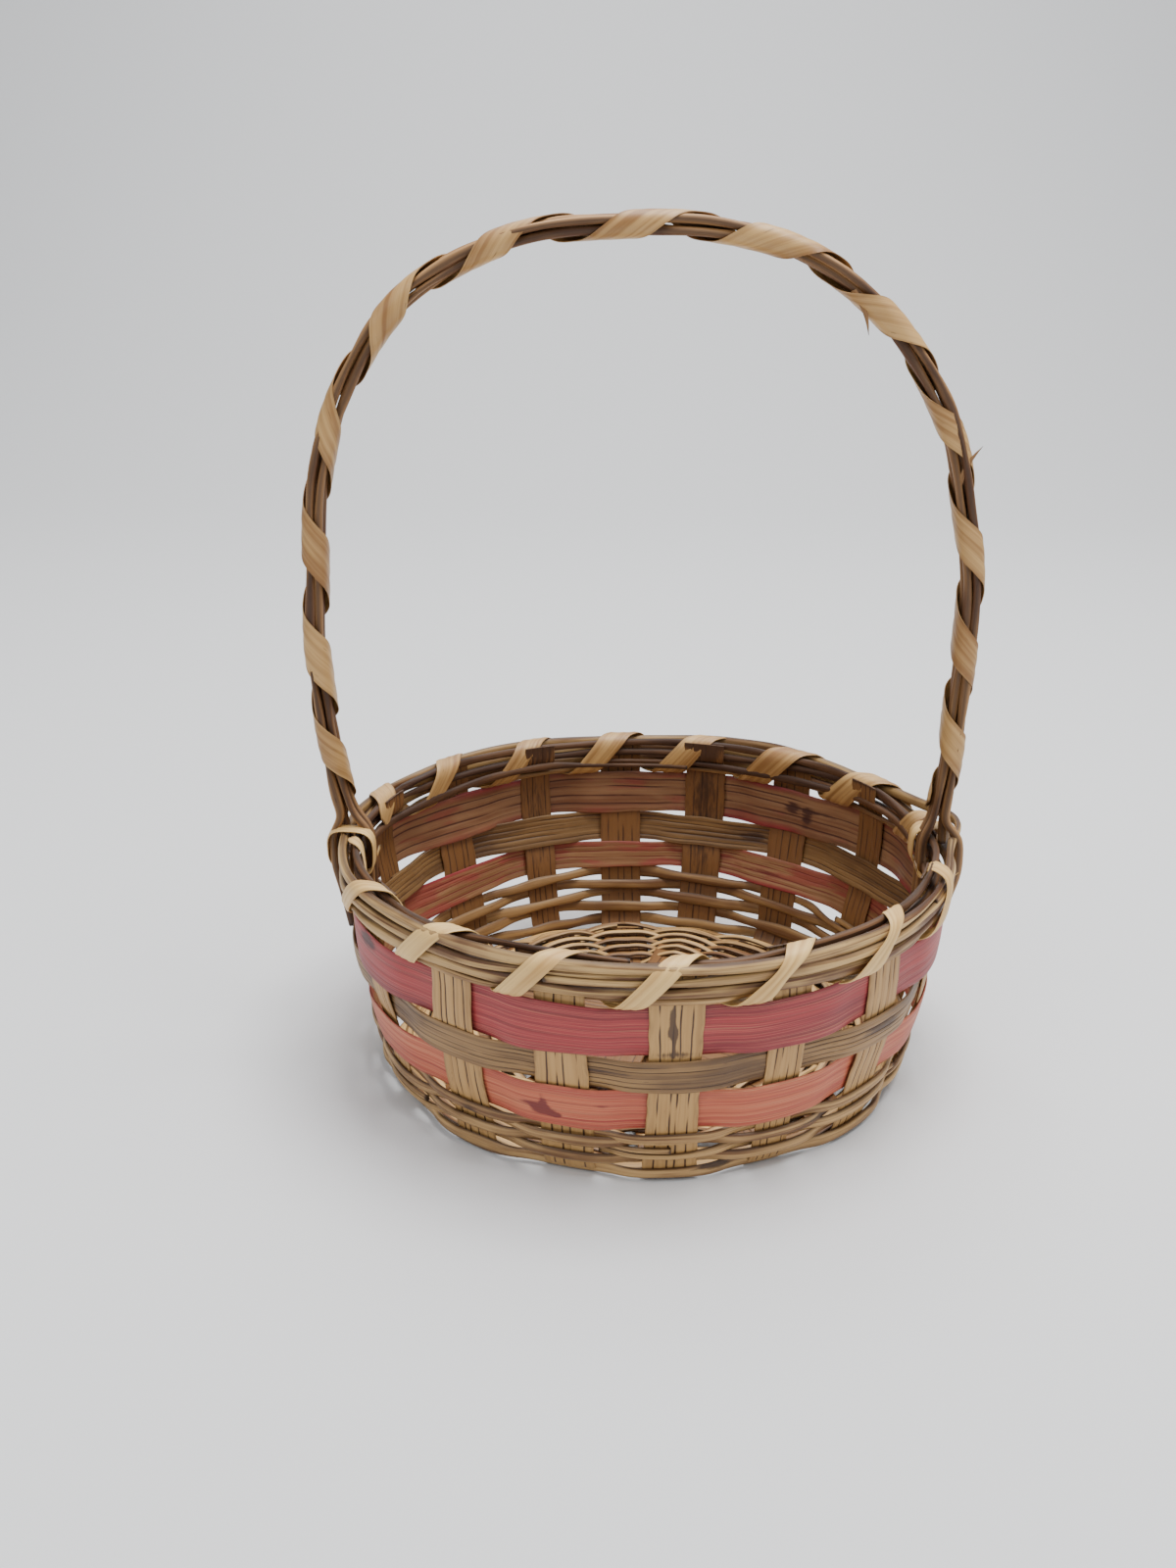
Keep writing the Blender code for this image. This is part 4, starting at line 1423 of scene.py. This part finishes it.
@dataclass
class Rim:
    """Rods on both sides of the stakes, bound with a strip that passes in every gap.

    A recess is how far outwards the lowest rod of a layer and its other rods are set, waver_up and
    waver_out are the sizes of the rods' wandering.
    """

    weave: Weave
    rod_size: float = 4.3 * MM
    inner_share: float = 0.78
    flatness: float = 0.84
    layer_gap: float = 2.75 * MM
    front_width: float = 7.8 * MM
    back_width: float = 10.8 * MM
    turns: int = 7
    stations: int = 460
    overlap: float = 1.0
    lap_loss: float = 0.4
    lap_step: float = 0.5 * MM
    waver_up: float = 0.9 * MM
    waver_out: float = 0.4 * MM
    outer_recess: tuple[float, float] = (-0.7 * MM, 0.15 * MM)
    inner_recess: tuple[float, float] = (-2.3 * MM, 0.0)
    end_stain: float = 0.8
    loops: dict[int, Loop] = field(default_factory=lambda: {
        3: Loop(95.0, 7.0, 6.4 * MM), 2: Loop(99.0, 6.0, 5.4 * MM)})

    def rods(self, coats: Coats) -> None:
        """Make the six rods.

        Args:
            coats: the made finishes.
        """
        for number in range(1, 4):
            for layer in Layer:
                self.rod(number, layer, coats)

    def rod(self, number: int, layer: Layer, coats: Coats) -> None:
        """Make one rod.

        Args:
            number: number of the rod from the lowest.
            layer: the side of the wall on which it lies.
            coats: the made finishes.
        """
        kind, sign, outer = layer.name.lower(), layer.value, layer is Layer.OUTER
        node = f"rim_{kind}_rod_{number}"
        low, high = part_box(node)
        seed = 50 + 5 * number + sign
        start = 5.5 + 3.7 * number + sign * 2
        index = np.linspace(start, start + self.weave.stakes + self.overlap, self.stations)
        azimuth = self.weave.azimuths(index)
        early, late = laps(index, self.overlap, 0.7)
        lap = 1 - self.lap_loss * np.maximum(early, late)
        loose = 0.5 + 0.9 * np.sin(azimuth) ** 4
        height = (low.z + high.z) / 2 + self.waver_up * (
            loose * Wander(seed, 2, 8)(azimuth) + late - early)
        middle = self.weave.rim_radius + sign * self.layer_gap
        lowest, others = self.outer_recess if outer else self.inner_recess
        radius = middle + (lowest if number == 1 else others)
        radius = radius + self.waver_out * loose * Wander(seed + 9, 2, 9)(azimuth)
        radius = radius - (late - early) * sign * self.lap_step
        if outer and number in self.loops:
            radius = radius + self.loops[number].bulge(azimuth)
        swell = 1 + 0.12 * Wander(seed + 3, 4, 24)(azimuth)
        size = self.rod_size * (1 if outer else self.inner_share)
        section = rod_section(size * swell * lap, size * self.flatness * (2 - swell) * lap)
        level = height[:, None] + section.up
        turn = np.broadcast_to(azimuth[:, None], level.shape)
        along = np.concatenate([[0], np.cumsum(np.diff(azimuth) * middle)])
        loft = Loft(f"rim_{kind}_cane_{number}")
        loft.skin(on_ring(turn, radius[:, None] + section.depth, level), along, section,
                  cut_ends(along, self.end_stain), seed * 0.41)
        loft.finish(coats, RIM_CANE if outer else SHADED_INNER_RIM_CANE, node)

    def wraps(self, coats: Coats) -> None:
        """Make the binding strip's two lengths.

        Args:
            coats: the made finishes.
        """
        low, high = self.weave.rim_low, self.weave.rim_top
        bundle = Bundle(5.3 * MM, (high - low) / 2 + 0.6 * MM, 3.0)

        def place(along: np.ndarray, out: np.ndarray, up: np.ndarray) -> np.ndarray:
            """Bend the bundle round the rim.

            Args:
                along: distance along the bundle.
                out: distance outwards from its middle.
                up: distance upwards from its middle.

            Returns:
                The points.
            """
            return on_ring(along / self.weave.rim_radius, self.weave.rim_radius + 0.1 * MM + out,
                           (low + high) / 2 + up)

        under, head, tail = 0.22, 0.55, 0.8
        knots = np.arange(-1, self.turns)
        turns = knots + under
        turns[0] += head
        turns = np.append(turns, turns[-1] + tail)
        for name, first_gap, seed, width, finish, twists in (
                ("front", 12, 3, self.front_width, WRAP, (4.55, 5.6)),
                ("back", 4, 8, self.back_width, AGED_WRAP, ())):
            along = np.array([self.weave.azimuth(first_gap + int(k) + 0.5) for k in knots])
            along = along * self.weave.rim_radius
            end = along[-1] + tail * (along[-1] - along[-2])
            along[0] += head * (along[1] - along[0])
            loft = Loft(f"rim_binding_{name}")
            Winding(bundle, width, place, seed, twists=twists).wind(
                loft, turns, np.append(along, end))
            loft.finish(coats, finish, f"rim_wrap_{name}")


# ---------------------------------------------------------------- handle


@dataclass(frozen=True)
class HoopSide:
    """Shape of one half of the hoop: its reach, and how full its arch and its leg are."""

    reach: float
    fullness: float
    leg_ease: float


@dataclass
class Handle:
    """Hoop of five rods, bound with a strip, that forks over the rim and is lashed to it.

    fork_rise is the fork's height over the rim. The outer feet stand outer_gap outside of the
    rim's rods and turn in by tuck at their ends; the inner ones stand inner_foot from the middle.
    Both run straight from shoulder to knee, measured down from the rim's top.
    """

    weave: Weave
    left: HoopSide = HoopSide(123.2 * MM, 2.62, 2.4)
    right: HoopSide = HoopSide(120.6 * MM, 2.42, 1.7)
    belly: float = 165 * MM
    lean: float = -2.0 * MM
    fork_rise: float = 3.5 * MM
    rod_size: float = 3.9 * MM
    layer_gap: float = 1.7 * MM
    outer_rows: tuple[float, ...] = (-3.3 * MM, 0.0, 3.3 * MM)
    inner_rows: tuple[float, ...] = (-2.3 * MM, 2.3 * MM)
    outer_gap: float = 2.2 * MM
    inner_foot: float = 108.2 * MM
    tuck: float = 5.5 * MM
    wrap_width: float = 12.0 * MM
    wrap_turns: float = 13.4
    wrap_start: float = 0.57
    wrap_margin: float = 7 * MM
    wrap_slack: float = 0.35 * MM
    wrap_jitter: float = 1.2 * MM
    wrap_knots: int = 15
    wrap_room: float = 5.1 * MM
    lashing_width: float = 9.0 * MM
    foot_inset: float = 1.6 * MM
    knee: float = 15 * MM
    shoulder: float = 1 * MM
    waver_line: float = 0.5 * MM
    waver_side: float = 0.45 * MM
    waver_out: float = 0.25 * MM
    flatness: float = 0.9
    station: float = 2.0 * MM
    bend: float = 7 * MM
    end_stain: float = 0.8

    def line(self) -> np.ndarray:
        """Middle line of the hoop from the left fork to the right one.

        Returns:
            Stations as (x, z).
        """
        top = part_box("handle_wrap")[1].z - self.wrap_room
        rim_top = self.weave.rim_top
        fork = rim_top + self.fork_rise
        foot = self.weave.rim_radius - self.foot_inset
        halves = []
        for sign, side in ((-1, self.left), (1, self.right)):
            legs = np.linspace(fork, self.belly, 40, endpoint=False)
            share = (self.belly - legs) / (self.belly - rim_top)
            x = side.reach - (side.reach - foot) * share ** side.leg_ease
            angle = np.linspace(0, np.pi / 2, 240)
            power = 2 / side.fullness
            arch_x = side.reach * np.clip(np.cos(angle), 0, 1) ** power
            arch_z = self.belly + (top - self.belly) * np.sin(angle) ** power
            halves.append(np.column_stack([sign * np.concatenate([x, arch_x]),
                                           np.concatenate([legs, arch_z])]))
        whole = np.vstack([halves[0][:-1], halves[1][::-1]])
        whole[:, 0] += self.lean * np.clip((whole[:, 1] - fork) / (self.belly - fork), 0, 1)
        length = run_along(whole)
        whole[:, 0] += self.waver_line * Wander(90, 3, 9)(length / length[-1] * 2 * np.pi)
        return soften(whole, 2.2 * MM, self.bend)

    @staticmethod
    def normals(line: np.ndarray) -> np.ndarray:
        """Outward normals of an (x, z) line that runs from left to right."""
        tangent = tangents(line)
        return np.column_stack([-tangent[:, 1], tangent[:, 0]])

    def rods(self, coats: Coats) -> None:
        """Make the five rods.

        Args:
            coats: the made finishes.
        """
        for layer, rows in ((Layer.OUTER, self.outer_rows), (Layer.INNER, self.inner_rows)):
            for number, across in enumerate(rows, 1):
                self.rod(layer, number, across, coats)

    def rod(self, layer: Layer, number: int, across: float, coats: Coats) -> None:
        """Make one rod.

        Args:
            layer: the side of the bundle on which it lies.
            number: number of the rod from the front.
            across: distance of the rod behind the bundle's middle.
            coats: the made finishes.
        """
        kind, sign, outer = layer.name.lower(), layer.value, layer is Layer.OUTER
        node = f"handle_{kind}_rod_{number}"
        seed = 120 + 10 * number + sign
        rim_top = self.weave.rim_top
        hoop = self.line()
        bundle = hoop + self.normals(hoop) * sign * self.layer_gap
        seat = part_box("rim_outer_rod_3")[1].x + self.outer_gap if outer else self.inner_foot
        left = [(-seat + (self.tuck if outer else 0.0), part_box(node)[0].z),
                (-seat, rim_top - self.knee), (-seat, rim_top - self.shoulder)]
        if outer and number == 2:
            left = [(-self.weave.rim_radius - 0.8 * MM, rim_top - 4 * MM)]
        right = [(-x, z) for x, z in left[::-1]]
        path = soften(np.array(left + [tuple(p) for p in bundle[1:-1]] + right), self.station,
                      self.bend)
        out = self.normals(path)
        length = run_along(path)
        turn = length / length[-1] * 2 * np.pi
        aside = across + self.waver_side * Wander(seed, 3, 10)(turn)
        path = path + out * (self.waver_out * Wander(seed + 1, 3, 12)(turn))[:, None]
        swell = 1 + 0.13 * Wander(seed + 2, 5, 26)(turn)
        section = rod_section(self.rod_size * swell, self.rod_size * self.flatness * (2 - swell))
        x = path[:, :1] + out[:, :1] * section.depth
        z = path[:, 1:] + out[:, 1:] * section.depth
        loft = Loft(f"handle_{kind}_cane_{number}")
        loft.skin(np.stack([x, aside[:, None] + section.up, z], axis=-1), length, section,
                  cut_ends(length, self.end_stain), seed * 0.29)
        loft.finish(coats, HANDLE_CANE, node)

    def wrap(self, coats: Coats) -> None:
        """Make the strip wound round the hoop, with closer turns on the legs.

        Args:
            coats: the made finishes.
        """
        hoop = self.line()
        columns = (*hoop.T, *self.normals(hoop).T)
        length = run_along(hoop)

        def place(along: np.ndarray, out: np.ndarray, up: np.ndarray) -> np.ndarray:
            """Bend the bundle along the hoop.

            Args:
                along: distance along the bundle.
                out: distance outwards from its middle.
                up: distance from its middle to the back.

            Returns:
                The points.
            """
            x, z, nx, nz = (np.interp(along, length, values) for values in columns)
            return np.stack([x + nx * out, up, z + nz * out], axis=-1)

        share = np.linspace(0, 1, self.wrap_knots)
        spread = 0.80 * share + 0.36 / np.pi * (1 - np.cos(np.pi * share))
        along = self.wrap_margin + (length[-1] - 2 * self.wrap_margin) * spread / spread[-1]
        random = np.random.default_rng(12)
        along[1:-1] += random.normal(size=len(share) - 2) * self.wrap_jitter
        loft = Loft("handle_binding")
        Winding(Bundle(4.3 * MM, 5.5 * MM, 2.6), self.wrap_width, place, 5,
                slack=self.wrap_slack).wind(loft, self.wrap_start + self.wrap_turns * share, along)
        loft.finish(coats, AGED_WRAP, "handle_wrap")

    def lashings(self, coats: Coats) -> None:
        """Make the strips that tie the feet to the rim.

        Args:
            coats: the made finishes.
        """
        low, high = self.weave.rim_low, self.weave.rim_top
        bundle = Bundle(8.9 * MM, (high - low) / 2 + 0.9 * MM, 3.4)
        for name, side in (("left", -1), ("right", 1)):

            def place(along: np.ndarray, out: np.ndarray, up: np.ndarray) -> np.ndarray:
                """Set the bundle over the rim at one side of the basket.

                Args:
                    along: distance along the rim.
                    out: distance outwards from the rim's middle.
                    up: distance upwards from it.

                Returns:
                    The points.
                """
                return np.stack([side * (self.weave.rim_radius + out), side * along,
                                 (low + high) / 2 + up], axis=-1)

            loft = Loft(f"handle_lashing_strip_{name}")
            Winding(bundle, self.lashing_width, place, 14 + side).wind(
                loft, np.array([0.05, 0.5, 1.0, 1.3]), np.array([-7, 2, 8, 10]) * MM)
            loft.finish(coats, WRAP, f"handle_lashing_{name}")


@dataclass(frozen=True)
class Splinter:
    """Torn sliver of cane, given in the handle's plane by its root, its tip and its width."""

    name: str
    root: tuple[float, float]
    tip: tuple[float, float]
    width: float = 2.2 * MM
    thickness: float = 0.9 * MM
    front: float = -4.0 * MM
    bow: float = 0.08

    def build(self, coats: Coats) -> None:
        """Make the sliver.

        Args:
            coats: the made finishes.
        """
        share = np.linspace(0, 1, 14)
        middle = np.outer(1 - share, self.root) + np.outer(share, self.tip)
        run = np.array(self.tip) - np.array(self.root)
        size = float(np.hypot(*run))
        normal = np.array([-run[1], run[0]]) / size
        middle = middle + np.outer(np.sin(share * np.pi) * self.bow * size, normal)
        taper = np.clip(1.02 - share ** 2.2, 0.06, 1)
        section = rod_section(self.width * taper, self.thickness * taper, 8)
        x = middle[:, :1] + normal[0] * section.up
        z = middle[:, 1:] + normal[1] * section.up
        y = self.front * (1 + 0.25 * share[:, None]) + section.depth
        loft = Loft(self.name)
        loft.skin(np.stack([x, y, z], axis=-1), share * size, section,
                  0.5 * share[:, None] ** 3, 71.0)
        loft.finish(coats, HANDLE_CANE)


# ---------------------------------------------------------------- studio


@dataclass(frozen=True)
class Lamp:
    """Square soft light: where it hangs, the length of its sides, its watts and its aim."""

    name: str
    place: tuple[float, float, float]
    size: float
    power: float
    aim: tuple[float, float, float] = (0.0, 0.0, 0.08)

    def hang(self) -> None:
        """Add the light."""
        data = bpy.data.lights.new(self.name, "AREA")
        data.size = self.size
        data.energy = self.power
        lamp = bpy.data.objects.new(self.name, data)
        lamp.location = self.place
        away = Vector(self.place) - Vector(self.aim)
        lamp.rotation_euler = away.to_track_quat("Z", "Y").to_euler()
        bpy.context.scene.collection.objects.link(lamp)


@dataclass
class Studio:
    """Pale seamless stage, soft lights and the camera; angles are in degrees."""

    lens: float = 37.0
    place: tuple[float, float, float] = (-0.0116, -0.5875, 0.327)
    tilt: float = 69.69
    pan: float = 1.05
    roll: float = 0.19
    near: float = -6.0
    far: float = 1.1
    half_width: float = 6.0
    curve: float = 0.9
    top: float = 3.2
    sky: Colour = (0.93, 0.95, 1.0)
    glow: float = 0.46
    lamps: tuple[Lamp, ...] = (
        Lamp("overhead", (0.25, -0.02, 1.45), 0.9, 29.0),
        Lamp("window", (-0.9, -0.9, 1.1), 0.9, 6.0),
        Lamp("fill", (1.0, -0.8, 0.7), 0.9, 3.5),
        Lamp("backdrop", (0.0, 1.1, 1.6), 1.2, 17.0, (0.0, 1.0, 0.0)))

    def camera(self) -> None:
        """Set up the camera."""
        data = bpy.data.cameras.new("camera")
        data.lens = self.lens
        data.sensor_fit = "VERTICAL"
        data.sensor_height = 36.0
        data.clip_start = 0.01
        camera = bpy.data.objects.new("camera", data)
        turn = (Matrix.Rotation(math.radians(self.pan), 4, "Z")
                @ Matrix.Rotation(math.radians(self.tilt), 4, "X")
                @ Matrix.Rotation(math.radians(self.roll), 4, "Z"))
        camera.matrix_world = Matrix.Translation(self.place) @ turn
        bpy.context.scene.collection.objects.link(camera)
        bpy.context.scene.camera = camera

    def floor(self) -> None:
        """Make the seamless floor that curves up behind."""
        profile = [(self.near, 0.0)]
        for angle in np.linspace(0, math.pi / 2, 25).tolist():
            profile.append((self.far + self.curve * math.sin(angle),
                            self.curve * (1 - math.cos(angle))))
        profile.append((self.far + self.curve, self.top))
        points = [(x, y, z) for y, z in profile for x in (-self.half_width, self.half_width)]
        faces = [(2 * i, 2 * i + 1, 2 * i + 3, 2 * i + 2) for i in range(len(profile) - 1)]
        mesh = bpy.data.meshes.new("stage")
        mesh.from_pydata(points, [], faces)
        mesh.shade_smooth()
        mesh.materials.append(StageFinish().make())
        stage = bpy.data.objects.new("stage", mesh)
        bpy.context.scene.collection.objects.link(stage)

    def lights(self) -> None:
        """Set up the lights and the pale surroundings."""
        world = bpy.data.worlds.new("surroundings")
        world.use_nodes = True
        background = world.node_tree.nodes["Background"]
        background.inputs["Color"].default_value = (*self.sky, 1.0)
        background.inputs["Strength"].default_value = self.glow
        bpy.context.scene.world = world
        for lamp in self.lamps:
            lamp.hang()


def main() -> None:
    """Dress the basket and set the studio."""
    logging.basicConfig(level=logging.INFO, format="%(name)s %(message)s")
    coats = {finish: finish.make() for finish in FINISHES}
    weave = Weave()
    stakes = Stakes(weave)
    stakes.build(coats)
    BaseWeavers(weave, stakes).build(coats)
    Wall(weave).build(coats)
    rim = Rim(weave)
    rim.rods(coats)
    rim.wraps(coats)
    handle = Handle(weave)
    handle.rods(coats)
    handle.wrap(coats)
    handle.lashings(coats)
    Splinter("handle_splinter_upper", (0.0690, 0.2940), (0.0750, 0.2790)).build(coats)
    Splinter("handle_splinter_side", (0.1110, 0.2270), (0.1180, 0.2410)).build(coats)
    studio = Studio()
    studio.floor()
    studio.lights()
    studio.camera()


if __name__ == "__main__":
    main()
